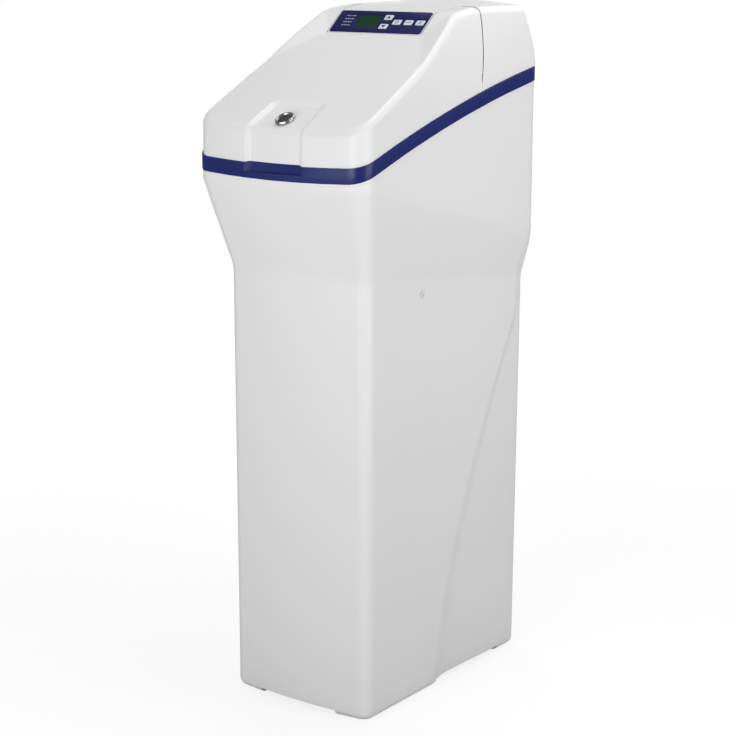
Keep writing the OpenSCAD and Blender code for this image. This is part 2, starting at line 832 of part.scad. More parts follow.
module panel_screws() {
    color("silver")
        for (x = [-post_x, post_x]) for (v = [-post_v, post_v])
            on_panel(x, v, board_z - board_t)
                rotate([180, 0, 0]) {
                    cylinder(r = 2.6, h = 1.8);
                    translate([0, 0, -5]) cylinder(r = panel_screw_r - running, h = 5);
                }
}

// A key: cap through the facia, flange under it, stem above its switch
module key(x, v) {
    color("gainsboro") {
        on_panel(x, v, -facia_in - loose - key_flange)
            plate(key_w - 2 * loose, key_h - 2 * loose, facia_t + loose + key_flange + 0.8, 1.3);
        on_panel(x, v, -facia_in - loose - key_flange)
            plate(key_w + 1.6, key_h + 1.6, key_flange, 1.5);
        on_panel(x, v, board_z + switch_h + key_travel + 0.1)
            cylinder(r = 2.2, h = -facia_in - loose - board_z - switch_h - key_travel - 0.6);
    }
}

module key_up() { key(key_cols[0], key_row); }
module key_down() { key(key_cols[0], -key_row); }
module key_left() { key(key_cols[1], 0); }
module key_middle() { key(key_cols[2], 0); }
module key_right() { key(key_cols[3], 0); }

// Lock
module lock_bezel() {
    color("silver")
        on_lock()
            rotate_extrude()
                polygon([[barrel_r + running, -lock_depth + 4], [lock_hole_r, -lock_depth + 4],
                         [lock_hole_r, 0], [bezel_r, 0], [bezel_r, bezel_h * 0.4], [bezel_r - 1.5, bezel_h],
                         [lock_hole_r + 0.5, bezel_h],
                         [barrel_r + 1, bezel_h - 2.5], [barrel_r + running, bezel_h - 2.5]]);
}

module lock_barrel() {
    color("dimgray")
        on_lock()
            difference() {
                translate([0, 0, -lock_depth]) {
                    cylinder(r = barrel_r, h = lock_depth + bezel_h - 1.5);
                    translate([0, 0, -6]) cylinder(r = 4, h = 7);
                }
                translate([-0.9, -4.5, bezel_h - 6]) cube([1.8, 9, 20]);
            }
}

module lock_nut() {
    color("silver")
        on_lock()
            translate([0, 0, -hood_wall - 6])
                difference() {
                    cylinder(r = lock_hole_r + 4, h = 6, $fn = 6);
                    translate([0, 0, -1]) cylinder(r = lock_hole_r + running, h = 8);
                }
}

cam_t = 2.5;
module lock_cam() {
    color("silver")
        on_lock()
            translate([0, 0, -lock_depth - cam_t])
                difference() {
                    union() {
                        cylinder(r = 7, h = cam_t);
                        translate([0, -7, 0]) cube([cam_l, 14, cam_t]);
                    }
                    translate([0, 0, -1]) cylinder(r = 4 + running, h = 8);
                }
}

// Strike bracket on the collar's pad: foot, upright web and a lip above the turned cam
strike_t = 2;
strike_hw = 17;
strike_lip_l = 12;
strike_web_y = rim_front_y + pocket_d + hood_wall + 6.5;
strike_lip_z = deck_z(strike_web_y + strike_lip_l) - (pocket_d + lock_depth) / cos(deck_angle) + 0.8;
module lock_strike() {
    color("silver")
        difference() {
            translate([-strike_hw, strike_web_y, pad_z]) {
                cube([2 * strike_hw, pad_l, strike_t]);
                cube([2 * strike_hw, strike_t, strike_lip_z + strike_t - pad_z]);
                translate([0, 0, strike_lip_z - pad_z]) cube([2 * strike_hw, strike_lip_l, strike_t]);
            }
            at_strike_screws() translate([0, 0, -1]) cylinder(r = strike_screw_r + running, h = 8);
        }
}

module strike_screws() {
    color("silver")
        at_strike_screws() {
            translate([0, 0, -5]) cylinder(r = strike_screw_r, h = 5 + strike_t);
            translate([0, 0, strike_t])
                difference() {
                    cylinder(r1 = 3, r2 = 2.4, h = 1.8);
                    translate([-0.4, -4, 1]) cube([0.8, 8, 2]);
                }
        }
}

// Vessel: wall profile from bottom to neck, as a function of inset
vessel_h = neck_top_z - vessel_z;
dome_low = 55;
dome_high = 62;
function vessel_profile(inset) = concat(
    [for (k = [0:8]) let (a = -90 + 90 * k / 8)
        [(vessel_r - inset) * cos(a), dome_low + (dome_low - inset) * sin(a)]],
    [for (k = [0:7]) let (a = acos(neck_r / vessel_r) * k / 7)
        [max((vessel_r - inset) * cos(a), neck_r - 2 * inset),
         vessel_h - 30 - dome_high + (dome_high - inset) * sin(a)]]);
neck_bore_r = 31.5;

module resin_vessel() {
    color("steelblue")
        translate([0, vessel_y, vessel_z])
            difference() {
                rotate_extrude($fn = 64)
                    polygon(concat(vessel_profile(0), [[neck_r, vessel_h], [0, vessel_h]]));
                rotate_extrude($fn = 64)
                    polygon(concat(vessel_profile(vessel_wall), [[0, vessel_h - 40]]));
                translate([0, 0, vessel_h - 60]) cylinder(r = neck_bore_r, h = 80);
            }
}

module vessel_boot() {
    color("dimgray")
        translate([0, vessel_y, floor_z])
            rotate_extrude($fn = 64)
                polygon(concat(
                    [[0, 0], [vessel_r + loose + 3, 0], [vessel_r + loose + 3, boot_h],
                     [vessel_r + loose, boot_h]],
                    [for (k = [8:-1:0]) vessel_profile(-loose)[k] + [0, boot_floor + loose]]));
}

strainer_r = 28;
strainer_h = 60;
strainer_z = vessel_z + vessel_wall + 8;
module resin_bed() {
    color("goldenrod")
        translate([0, vessel_y, vessel_z])
            difference() {
                intersection() {
                    rotate_extrude($fn = 64)
                        polygon(concat(vessel_profile(vessel_wall + loose), [[0, vessel_h - 40]]));
                    cylinder(r = 2 * vessel_r, h = vessel_h * resin_fill);
                }
                translate([0, 0, -1])
                    cylinder(r = strainer_r + loose, h = strainer_z - vessel_z + strainer_h + loose + 1);
                cylinder(r = riser_r + loose, h = vessel_h);
            }
}

riser_top_z = neck_top_z + 30;
module riser_tube() {
    color("gainsboro")
        translate([0, vessel_y, strainer_z + strainer_h - 20])
            difference() {
                cylinder(r = riser_r, h = riser_top_z - strainer_z - strainer_h + 20);
                translate([0, 0, -1]) cylinder(r = riser_r - 2.5, h = vessel_h + 80);
            }
}

// Strainer basket with ring slots
module strainer(r, h, bore_r) {
    difference() {
        cylinder(r = r, h = h);
        translate([0, 0, 3]) cylinder(r = r - 4, h = h - 26);
        translate([0, 0, h - 20 - running]) cylinder(r = bore_r, h = h);
        for (z = [6:5:h - 30])
            translate([0, 0, z])
                difference() {
                    cylinder(r = r + 1, h = 2);
                    translate([0, 0, -1]) cylinder(r = r - 1.5, h = 4);
                }
    }
}
module lower_strainer() {
    color("white")
        translate([0, vessel_y, strainer_z]) strainer(strainer_r, strainer_h, riser_r + running);
}
module upper_strainer() {
    color("white")
        translate([0, vessel_y, neck_top_z - 58])
            difference() {
                cylinder(r = neck_bore_r - 1.5, h = 58 + seal_t);
                translate([0, 0, -1]) cylinder(r = riser_r + loose, h = 70);
                for (z = [4:6:34])
                    translate([0, 0, z])
                        difference() {
                            cylinder(r = neck_bore_r, h = 2.5);
                            translate([0, 0, -1]) cylinder(r = neck_bore_r - 5, h = 5);
                        }
            }
}

seal_t = 3;
module tank_seal() {
    color("black")
        translate([0, vessel_y, neck_top_z + seal_t / 2])
            rotate_extrude()
                translate([neck_r - 4.2, 0]) circle(r = seal_t / 2, $fn = 24);
}

// Valve body with its chamber, two rear ports, drain port and brine port
chamber_r = valve_r - 12;
chamber_z = port_z + 18;
head_z = chamber_z + 37;
port_r = 18.5;
port_bore_r = 12;
drain_z = port_z + 32;
drain_port_y = vessel_y + 62;
brine_port_x = -valve_r - 14;
head_screw_r = 2;
head_screw_pcd_r = valve_r - 5;
cap_z = neck_top_z - 26;

module along_y(x, y, z) {
    translate([x, y, z]) rotate([-90, 0, 0]) children();
}

module at_head_screws() {
    for (a = [30:60:330])
        translate([head_screw_pcd_r * cos(a), vessel_y + head_screw_pcd_r * sin(a), 0]) children();
}

module valve_body() {
    color("dimgray")
        difference() {
            union() {
                translate([0, vessel_y, neck_top_z]) cylinder(r = valve_r, h = head_z - neck_top_z);
                translate([0, vessel_y, cap_z]) cylinder(r = neck_r + 12, h = neck_top_z - cap_z + seal_t);
                for (s = [-1, 1])
                    along_y(s * port_pitch / 2, vessel_y, port_z)
                        cylinder(r = port_r, h = port_end_y - vessel_y);
                along_y(0, vessel_y, drain_z) cylinder(r = 9, h = drain_port_y - vessel_y);
                translate([brine_port_x, vessel_y, port_z]) rotate([0, 90, 0]) cylinder(r = 9, h = valve_r);
            }
            translate([0, vessel_y, cap_z - 1])
                cylinder(r = neck_r + loose, h = neck_top_z + seal_t - cap_z + 1);
            translate([0, vessel_y, neck_top_z])
                cylinder(r = riser_r + running, h = chamber_z - neck_top_z - 4);
            translate([0, vessel_y, neck_top_z]) cylinder(r = 6, h = chamber_z - neck_top_z + 1);
            translate([0, vessel_y, chamber_z]) cylinder(r = chamber_r, h = head_z);
            for (s = [-1, 1]) {
                along_y(s * port_pitch / 2, vessel_y + 30, port_z) cylinder(r = port_bore_r, h = port_end_y);
                translate([s * port_pitch / 2, vessel_y + 18, port_z])
                    cylinder(r = 6, h = chamber_z - port_z + 1);
                along_y(s * port_pitch / 2, vessel_y + 18, port_z) cylinder(r = 6, h = 20);
            }
            along_y(0, vessel_y + 30, drain_z) cylinder(r = 5, h = big);
            translate([brine_port_x - 1, vessel_y, port_z]) rotate([0, 90, 0]) cylinder(r = 4.5, h = 30);
            translate([brine_port_x + 28, vessel_y, port_z]) cylinder(r = 4, h = chamber_z - port_z + 1);
            at_head_screws() translate([0, 0, head_z - 16]) cylinder(r = head_screw_r, h = 30);
        }
}

disc_t = 8;
module fixed_disc() {
    color("ivory")
        translate([0, vessel_y, chamber_z])
            difference() {
                cylinder(r = chamber_r - loose, h = disc_t);
                translate([0, 0, -1]) cylinder(r = 6, h = 20);
                for (s = [-1, 1]) translate([s * 22, 18, -1]) cylinder(r = 6, h = 20);
                translate([0, -24, -1]) cylinder(r = 4, h = 20);
            }
}

shaft_r = 8;
rotor_z = chamber_z + disc_t + loose;
head_t = 9;
plate_t = 4;
plate_z = head_z + head_t;
gear_z = plate_z + plate_t + 1;
module rotor_disc() {
    color("dimgray")
        translate([0, vessel_y, rotor_z])
            difference() {
                union() {
                    cylinder(r = chamber_r - 2, h = 12);
                    cylinder(r = shaft_r, h = gear_z + gear_t - rotor_z + 4);
                }
                for (a = [60, 180, 300])
                    rotate(a) translate([20, 0, -1]) cylinder(r = 6, h = 8);
            }
}

module valve_head() {
    color("dimgray")
        difference() {
            translate([0, vessel_y, head_z]) cylinder(r = valve_r, h = head_t);
            translate([0, vessel_y, head_z - 1]) cylinder(r = shaft_r + running, h = head_t + 2);
            at_head_screws()
                translate([0, 0, head_z - 1]) cylinder(r = head_screw_r + running, h = head_t + 2);
            at_head_screws() translate([0, 0, plate_z - 4]) cylinder(r = 4, h = 10);
        }
}

module head_screws() {
    color("silver")
        at_head_screws() {
            translate([0, 0, head_z - 14]) cylinder(r = head_screw_r - running, h = head_t + 10);
            translate([0, 0, plate_z - 4]) cylinder(r = 3.6, h = 3.4);
        }
}

// Drive: plate, gear on the rotor shaft, pinion on the motor, cover
gear_pitch_r = gear_module * gear_teeth / 2;
pinion_pitch_r = gear_module * pinion_teeth / 2;
motor_x = gear_pitch_r + pinion_pitch_r;
plate_x0 = -gear_pitch_r - 14;
plate_x1 = motor_x + motor_r + 8;
plate_w = plate_x1 - plate_x0;
plate_d = 2 * gear_pitch_r + 28;
plate_cx = (plate_x0 + plate_x1) / 2;
drive_screw_r = 1.8;
motor_shaft_r = 3;

module at_drive_screws() {
    for (x = [plate_x0 + 7, plate_x1 - 7]) for (y = [-1, 1])
        translate([x, vessel_y + y * (plate_d / 2 - 7), 0]) children();
}

// Straight flanked tooth outline: half angles at root, pitch and tip give a free running mesh
function gear_points(teeth) =
    let (r = gear_module * teeth / 2, half = 90 / teeth)
    [for (k = [0:teeth - 1]) let (a = 360 * k / teeth)
        for (p = [[r - 1.25 * gear_module, -1.45 * half], [r - 0.1 * gear_module, -0.84 * half],
                  [r + 0.85 * gear_module, -0.36 * half], [r + 0.85 * gear_module, 0.36 * half],
                  [r - 0.1 * gear_module, 0.84 * half], [r - 1.25 * gear_module, 1.45 * half]])
            [p[0] * cos(a + p[1]), p[0] * sin(a + p[1])]];

module drive_plate() {
    color("gainsboro")
        difference() {
            translate([plate_cx, vessel_y, plate_z]) plate(plate_w, plate_d, plate_t, 12);
            translate([0, vessel_y, plate_z - 1]) cylinder(r = shaft_r + loose, h = 10);
            translate([motor_x, vessel_y, plate_z - 1]) cylinder(r = motor_shaft_r + 2, h = 10);
            at_drive_screws() translate([0, 0, plate_z - 1]) cylinder(r = drive_screw_r + running, h = 10);
        }
}

module drive_gear() {
    color("ivory")
        translate([0, vessel_y, gear_z])
            difference() {
                linear_extrude(gear_t) polygon(gear_points(gear_teeth));
                translate([0, 0, -1]) cylinder(r = shaft_r + running, h = gear_t + 2);
                for (a = [0:60:300])
                    rotate(a + 30) translate([gear_pitch_r * 0.58, 0, -1]) cylinder(r = 11, h = gear_t + 2);
            }
}

module motor_pinion() {
    color("ivory")
        translate([motor_x, vessel_y, gear_z])
            difference() {
                linear_extrude(gear_t) polygon(gear_points(pinion_teeth));
                translate([0, 0, -1]) cylinder(r = motor_shaft_r + running, h = gear_t + 2);
            }
}

module drive_motor() {
    color("silver")
        translate([motor_x, vessel_y, plate_z]) {
            translate([0, 0, -38]) cylinder(r = motor_r, h = 38);
            cylinder(r = motor_shaft_r, h = gear_z + gear_t - plate_z + 2);
            translate([-6, -motor_r - 4, -34]) cube([12, 10, 10]);
        }
}

cover_h = gear_t + 14;
cover_wall = 2.5;
module drive_cover() {
    color("dimgray")
        difference() {
            translate([plate_cx, vessel_y, plate_z + plate_t]) plate(plate_w, plate_d, cover_h, 12);
            translate([plate_cx, vessel_y, plate_z + plate_t - 1])
                plate(plate_w - 2 * cover_wall, plate_d - 2 * cover_wall, cover_h + 1 - cover_wall,
                    12 - cover_wall);
            at_drive_screws() translate([0, 0, plate_z]) cylinder(r = drive_screw_r + running, h = 60);
        }
    color("dimgray")
        difference() {
            at_drive_screws() translate([0, 0, plate_z + plate_t]) cylinder(r = 4.5, h = cover_h - eps);
            at_drive_screws() translate([0, 0, plate_z]) cylinder(r = drive_screw_r + running, h = 60);
        }
}

module drive_screws() {
    color("silver")
        at_drive_screws() {
            translate([0, 0, plate_z]) cylinder(r = drive_screw_r, h = plate_t + cover_h);
            translate([0, 0, plate_z + plate_t + cover_h]) cylinder(r1 = 3.6, r2 = 2.8, h = 2.4);
        }
}

// Inlet and outlet
plug_l = 16;
flange_t = 5;
nut_out = flange_t + 4;
spigot_end_y = rear_y + spigot_reach;
module connector(x) {
    along_y(x, port_end_y, port_z)
        difference() {
            union() {
                translate([0, 0, -plug_l]) cylinder(r = port_bore_r - running, h = plug_l);
                cylinder(r = port_r - 2, h = flange_t);
                cylinder(r = spigot_r - loose, h = spigot_end_y - port_end_y);
                translate([0, 0, nut_out]) cylinder(r = spigot_r, h = spigot_end_y - port_end_y - nut_out);
            }
            translate([0, 0, -plug_l - 1]) cylinder(r = spigot_bore_r, h = big);
        }
}

module inlet_connector() {
    color("white") connector(-port_pitch / 2);
}

turbine_y = port_end_y + 6;
turbine_shaft_r = 1.5;
module outlet_connector() {
    color("white") {
        connector(port_pitch / 2);
        along_y(port_pitch / 2, turbine_y + 12, port_z)
            difference() {
                union() {
                    cylinder(r = 3.5, h = 6);
                    for (a = [0:60:120])
                        rotate(a) translate([-spigot_bore_r - 0.5, -0.8, 0])
                            cube([2 * spigot_bore_r + 1, 1.6, 6]);
                }
                translate([0, 0, -1]) cylinder(r = turbine_shaft_r + running, h = 6);
            }
    }
}

module meter_turbine() {
    color("ivory")
        along_y(port_pitch / 2, turbine_y, port_z) {
            cylinder(r = 3, h = 11.5);
            cylinder(r = turbine_shaft_r, h = 16);
            for (a = [0:60:300])
                rotate(a)
                    translate([0, -0.6, 1]) cube([spigot_bore_r - loose, 1.2, 9]);
        }
}

nut_l = 20;
module port_nuts() {
    color("gainsboro")
        for (s = [-1, 1])
            along_y(s * port_pitch / 2, port_end_y + nut_out - nut_l, port_z)
                difference() {
                    cylinder(r = nut_r, h = nut_l, $fn = 12);
                    translate([0, 0, -1]) cylinder(r = port_r + loose, h = nut_l - 4 + 1);
                    cylinder(r = spigot_r + loose, h = nut_l + 1);
                }
}

module drain_barb() {
    color("white")
        along_y(0, drain_port_y, drain_z)
            difference() {
                union() {
                    translate([0, 0, -12]) cylinder(r = 5 - running, h = 13);
                    cylinder(r = 9, h = 6);
                    cylinder(r = 6, h = rear_y + 18 - drain_port_y);
                    for (k = [0:2])
                        translate([0, 0, rear_y - drain_port_y - 10 + 9 * k])
                            cylinder(r1 = 7.2, r2 = 6, h = 8);
                }
                translate([0, 0, -13]) cylinder(r = 3, h = big);
            }
}

// Brine side
well_x = -body_w / 2 + wall + 7 + well_r;
well_y = vessel_y - 128;
pipe_dx = -22;
rod_dx = 12;
pipe_r = 5;
rod_r = 3;
pipe_top_z = well_top_z + 32;

module brine_well() {
    color("gainsboro")
        translate([well_x, well_y, floor_z])
            difference() {
                cylinder(r = well_r, h = well_top_z - floor_z);
                translate([0, 0, -1]) cylinder(r = well_r - well_wall, h = well_top_z);
                for (a = [0:30:150]) for (z = [12:14:82])
                    rotate(a) translate([-well_r - 1, -1.5, z]) cube([2 * well_r + 2, 3, 8]);
            }
}

module brine_well_cap() {
    color("gainsboro")
        translate([well_x, well_y, well_top_z])
            difference() {
                union() {
                    cylinder(r = well_r + 3, h = 3);
                    translate([0, 0, -12]) cylinder(r = well_r - well_wall - loose, h = 12);
                }
                translate([0, 0, -13]) cylinder(r = well_r - well_wall - 3, h = 13);
                translate([pipe_dx, 0, -20]) cylinder(r = pipe_r + loose, h = 40);
            }
}

valve_block_h = 34;
module brine_valve() {
    color("white")
        translate([well_x, well_y, floor_z])
            difference() {
                union() {
                    cylinder(r = well_r - well_wall - loose, h = 10);
                    translate([pipe_dx, 0, 0]) cylinder(r = 11, h = valve_block_h);
                    translate([rod_dx, 0, 0]) cylinder(r = 9, h = valve_block_h);
                    translate([pipe_dx, -5, 0]) cube([rod_dx - pipe_dx, 10, valve_block_h]);
                }
                translate([pipe_dx, 0, 14]) cylinder(r = pipe_r + running, h = valve_block_h);
                translate([pipe_dx, 0, 4]) cylinder(r = 3, h = valve_block_h);
                translate([rod_dx, 0, 12]) cylinder(r = rod_r + running, h = valve_block_h);
            }
}

module brine_riser() {
    color("white")
        translate([well_x + pipe_dx, well_y, floor_z + 14 + eps])
            difference() {
                cylinder(r = pipe_r, h = pipe_top_z - floor_z - 14);
                translate([0, 0, -1]) cylinder(r = 3, h = well_top_z + 60);
            }
}

float_z = floor_z + 330;
module float_rod() {
    color("silver")
        translate([well_x + rod_dx, well_y, floor_z + 12 + eps]) {
            cylinder(r = rod_r, h = overflow_z - 40);
            for (z = [float_z - floor_z - 18, float_z - floor_z + float_l - 12 + loose])
                translate([0, 0, z]) cylinder(r = 6, h = 5);
        }
}

module safety_float() {
    color("orangered")
        translate([well_x + rod_dx, well_y, float_z])
            difference() {
                rotate_extrude()
                    polygon([[rod_r + running, 0], [float_r - 4, 0], [float_r, 4], [float_r, float_l - 4],
                             [float_r - 4, float_l], [rod_r + running, float_l]]);
            }
}

// Brine elbow on the valve's left port, turning forward
elbow_x = brine_port_x - 10;
elbow_end_y = vessel_y - 22;
module brine_elbow() {
    color("white")
        difference() {
            union() {
                translate([elbow_x, vessel_y, port_z]) {
                    sphere(r = 9);
                    rotate([0, 90, 0]) cylinder(r = 9, h = brine_port_x - elbow_x);
                    rotate([90, 0, 0]) cylinder(r = 8, h = vessel_y - elbow_end_y);
                    rotate([0, 90, 0]) cylinder(r = 4.5 - running, h = 24);
                }
            }
            translate([elbow_x, vessel_y, port_z]) {
                rotate([0, 90, 0]) cylinder(r = 2.5, h = 40);
                rotate([90, 0, 0]) cylinder(r = 2.5, h = 60);
            }
        }
}

// Brine line: a tube swept along a smooth route from the elbow to the brine pipe's top
line_dx = well_x + pipe_dx - elbow_x;
line_dy = well_y - elbow_end_y;
line_drop = port_z - pipe_top_z;
function line_at(s) = let (e = s * s * (3 - 2 * s))
    [elbow_x + line_dx * e, elbow_end_y + line_dy * sin(90 * s), port_z - line_drop * (1 - cos(90 * s))];
function line_dir(s) = let (d = line_at(min(s + 0.01, 1)) - line_at(max(s - 0.01, 0))) d / norm(d);
line_n = 14;
line_sides = 10;
function line_ring(s) = let (d = s <= 0 ? [0, -1, 0] : s >= 1 ? [0, 0, -1] : line_dir(s),
                             u = cross(d, [1, 0, 0]) / norm(cross(d, [1, 0, 0])),
                             w = cross(d, u))
    [for (k = [0:line_sides - 1]) let (a = -360 * k / line_sides)
        line_at(s) + brine_line_r * (u * cos(a) + w * sin(a))];

module brine_line() {
    color("white")
        loft([for (k = [0:line_n]) line_ring(k / line_n)]);
}

// Salt grid: perforated plate on hollow legs in front of the vessel
grid_t = 4;
grid_hole_r = 3.5;
grid_pitch = 15;
grid_hw = body_w / 2 - wall - recess_d - 4;
grid_y0 = front_y + wall + front_bow + 4;
grid_y1 = vessel_y - 60;
grid_side_x = well_x + 0.7 * well_r;
module grid_clear(extra) {
    translate([0, vessel_y, -1]) cylinder(r = vessel_r + 6 + extra, h = 400);
    translate([well_x, well_y, -1]) cylinder(r = well_r + 3 + extra, h = 400);
    translate([-body_w, well_y, -1]) cube([body_w + grid_side_x, body_d, 400]);
}
function grid_open(x, y) =
    norm([x, y - vessel_y]) > vessel_r + 14 && norm([x - well_x, y - well_y]) > well_r + 10
    && (x > grid_side_x + 8 || y < well_y - 8);
grid_legs = [for (x = [-1, 1]) for (y = [grid_y0 + 18, grid_y0 + 95]) [x * (grid_hw - 20), y]];
module salt_grid() {
    color("gainsboro")
        difference() {
            union() {
                translate([0, (grid_y0 + grid_y1) / 2, grid_z])
                    plate(2 * grid_hw, grid_y1 - grid_y0, grid_t, 14);
                for (p = grid_legs)
                    translate([p[0], p[1], floor_z]) cylinder(r = 12, h = grid_z - floor_z + eps);
            }
            grid_clear(0);
            for (p = grid_legs) translate([p[0], p[1], floor_z - 1]) cylinder(r = 9, h = grid_z - floor_z);
            for (i = [-7:7]) for (j = [1:12])
                let (x = i * grid_pitch, y = grid_y0 + j * grid_pitch)
                if (y < grid_y1 - 8 && grid_open(x, y) && min([for (p = grid_legs) norm(p - [x, y])]) > 17)
                    translate([x, y, grid_z - 1]) cylinder(r = grid_hole_r, h = grid_t + 2);
        }
}

overflow_out = 14;
module overflow_elbow() {
    color("white")
        translate([overflow_x, rear_y, overflow_z])
            difference() {
                union() {
                    rotate([90, 0, 0]) cylinder(r = overflow_hole_r - running, h = wall + 16);
                    rotate([-90, 0, 0]) cylinder(r = overflow_hole_r + 4, h = 4);
                    rotate([-90, 0, 0]) cylinder(r = 8, h = overflow_out);
                    translate([0, overflow_out, 0]) sphere(r = 8);
                    translate([0, overflow_out, -34]) cylinder(r = 6, h = 34);
                    for (k = [0:2])
                        translate([0, overflow_out, -34 + 8 * k]) cylinder(r1 = 6, r2 = 7.2, h = 7);
                }
                translate([0, overflow_out, 0]) rotate([90, 0, 0]) cylinder(r = 4.2, h = 60);
                translate([0, overflow_out, -40]) cylinder(r = 4.2, h = 40);
            }
}

module overflow_nut() {
    color("gainsboro")
        translate([overflow_x, rear_y - wall, overflow_z])
            rotate([90, 0, 0])
                difference() {
                    cylinder(r = overflow_hole_r + 7, h = 8, $fn = 6);
                    translate([0, 0, -1]) cylinder(r = overflow_hole_r + running, h = 10);
                }
}

cabinet();
side_plugs();
collar();
salt_lid();
rear_cover();
hinge_pins();
cover_screws();
power_socket();
control_panel();
display_window();
display_module();
circuit_board();
panel_screws();
key_up();
key_down();
key_left();
key_middle();
key_right();
lock_bezel();
lock_barrel();
lock_nut();
lock_cam();
lock_strike();
strike_screws();
resin_vessel();
vessel_boot();
resin_bed();
riser_tube();
lower_strainer();
upper_strainer();
tank_seal();
valve_body();
fixed_disc();
rotor_disc();
valve_head();
head_screws();
drive_plate();
drive_gear();
motor_pinion();
drive_motor();
drive_cover();
drive_screws();
inlet_connector();
outlet_connector();
meter_turbine();
port_nuts();
drain_barb();
brine_elbow();
brine_line();
brine_well();
brine_well_cap();
brine_valve();
brine_riser();
float_rod();
safety_float();
salt_grid();
overflow_elbow();
overflow_nut();
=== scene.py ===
"""Looks for a cabinet water softener: smooth moulded skins, facia marks, finishes, and a plain studio."""

import json
import math

import bmesh
import bpy
import numpy as np
from bpy.props import FloatProperty, FloatVectorProperty, PointerProperty
from mathutils import Euler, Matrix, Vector


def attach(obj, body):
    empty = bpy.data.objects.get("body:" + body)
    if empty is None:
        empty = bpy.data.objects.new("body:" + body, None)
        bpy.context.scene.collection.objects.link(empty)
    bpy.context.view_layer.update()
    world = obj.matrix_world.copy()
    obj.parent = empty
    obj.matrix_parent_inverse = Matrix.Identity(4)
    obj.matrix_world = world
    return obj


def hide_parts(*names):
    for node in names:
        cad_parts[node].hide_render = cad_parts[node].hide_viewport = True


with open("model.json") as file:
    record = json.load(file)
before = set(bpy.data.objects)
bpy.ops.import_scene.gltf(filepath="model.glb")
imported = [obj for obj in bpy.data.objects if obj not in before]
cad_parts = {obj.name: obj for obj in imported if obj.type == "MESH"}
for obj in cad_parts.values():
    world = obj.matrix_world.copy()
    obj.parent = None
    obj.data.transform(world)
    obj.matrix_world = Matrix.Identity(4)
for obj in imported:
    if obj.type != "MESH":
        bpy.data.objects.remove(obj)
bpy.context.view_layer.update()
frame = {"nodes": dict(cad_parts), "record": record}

bl_info = {
    "name": "Water softener looks",
    "version": (1, 0, 0),
    "blender": (4, 5, 0),
    "location": "3D View > Sidebar > Softener",
    "description": "Moulded skins, facia marks, finishes and studio for a cabinet water softener",
    "category": "Object",
}

NODES = frame["nodes"]
KEYS = ("up", "down", "left", "middle", "right")
FINISH = {}

BOX_FACES = ((3, 2, 1, 0), (4, 5, 6, 7), (0, 1, 5, 4), (1, 2, 6, 5), (2, 3, 7, 6), (3, 0, 4, 7))

# Softboxes: name, place and target in metres, edge in metres, watts
LAMPS = (("front_softbox", (0.25, -1.65, 0.96), (0, -0.2, 0.85), 0.8, 12.4),
         ("right_softbox", (1.4, 0, 0.9), (0, 0, 0.8), 0.8, 8.5),
         ("left_softbox", (-1.2, 1.1, 0.9), (0, 0.1, 0.8), 0.8, 9),
         ("high_side_softbox", (1.1, 0.25, 1.55), (0, 0.1, 1.0), 0.6, 2.3),
         ("rear_softbox", (0.2, 1.3, 2.0), (0, 0.15, 1.05), 1.0, 7.6),
         ("top_softbox", (0, 0.2, 2.6), (0, 0, 1), 1.0, 14.8),
         ("left_fill", (-0.45, -1.6, 0.8), (0, -0.2, 0.87), 0.6, 3))

# Camera: millimetres from the front face, then degrees down and degrees to the left
CAMERA_PLACE = (1753.27, -2153.93, 1202.71)
CAMERA_DOWN = 13.063
CAMERA_LEFT = 36.737


# Sizes and colours

def linear(hex_code):
    """Linear red, green and blue from an sRGB hex value."""
    parts = [int(hex_code[i:i + 2], 16) / 255 for i in (1, 3, 5)]
    return tuple(p / 12.92 if p <= 0.04045 else ((p + 0.055) / 1.055) ** 2.4 for p in parts)


def length(name, description, mm):
    """A size in the sidebar, with its default given in millimetres."""
    return FloatProperty(name=name, description=description, default=mm / 1000, unit="LENGTH", subtype="DISTANCE")


def colour(name, description, hex_code):
    """A colour in the sidebar, with its default given as an sRGB hex value."""
    return FloatVectorProperty(name=name, description=description, default=linear(hex_code), subtype="COLOR",
                               min=0, max=1)


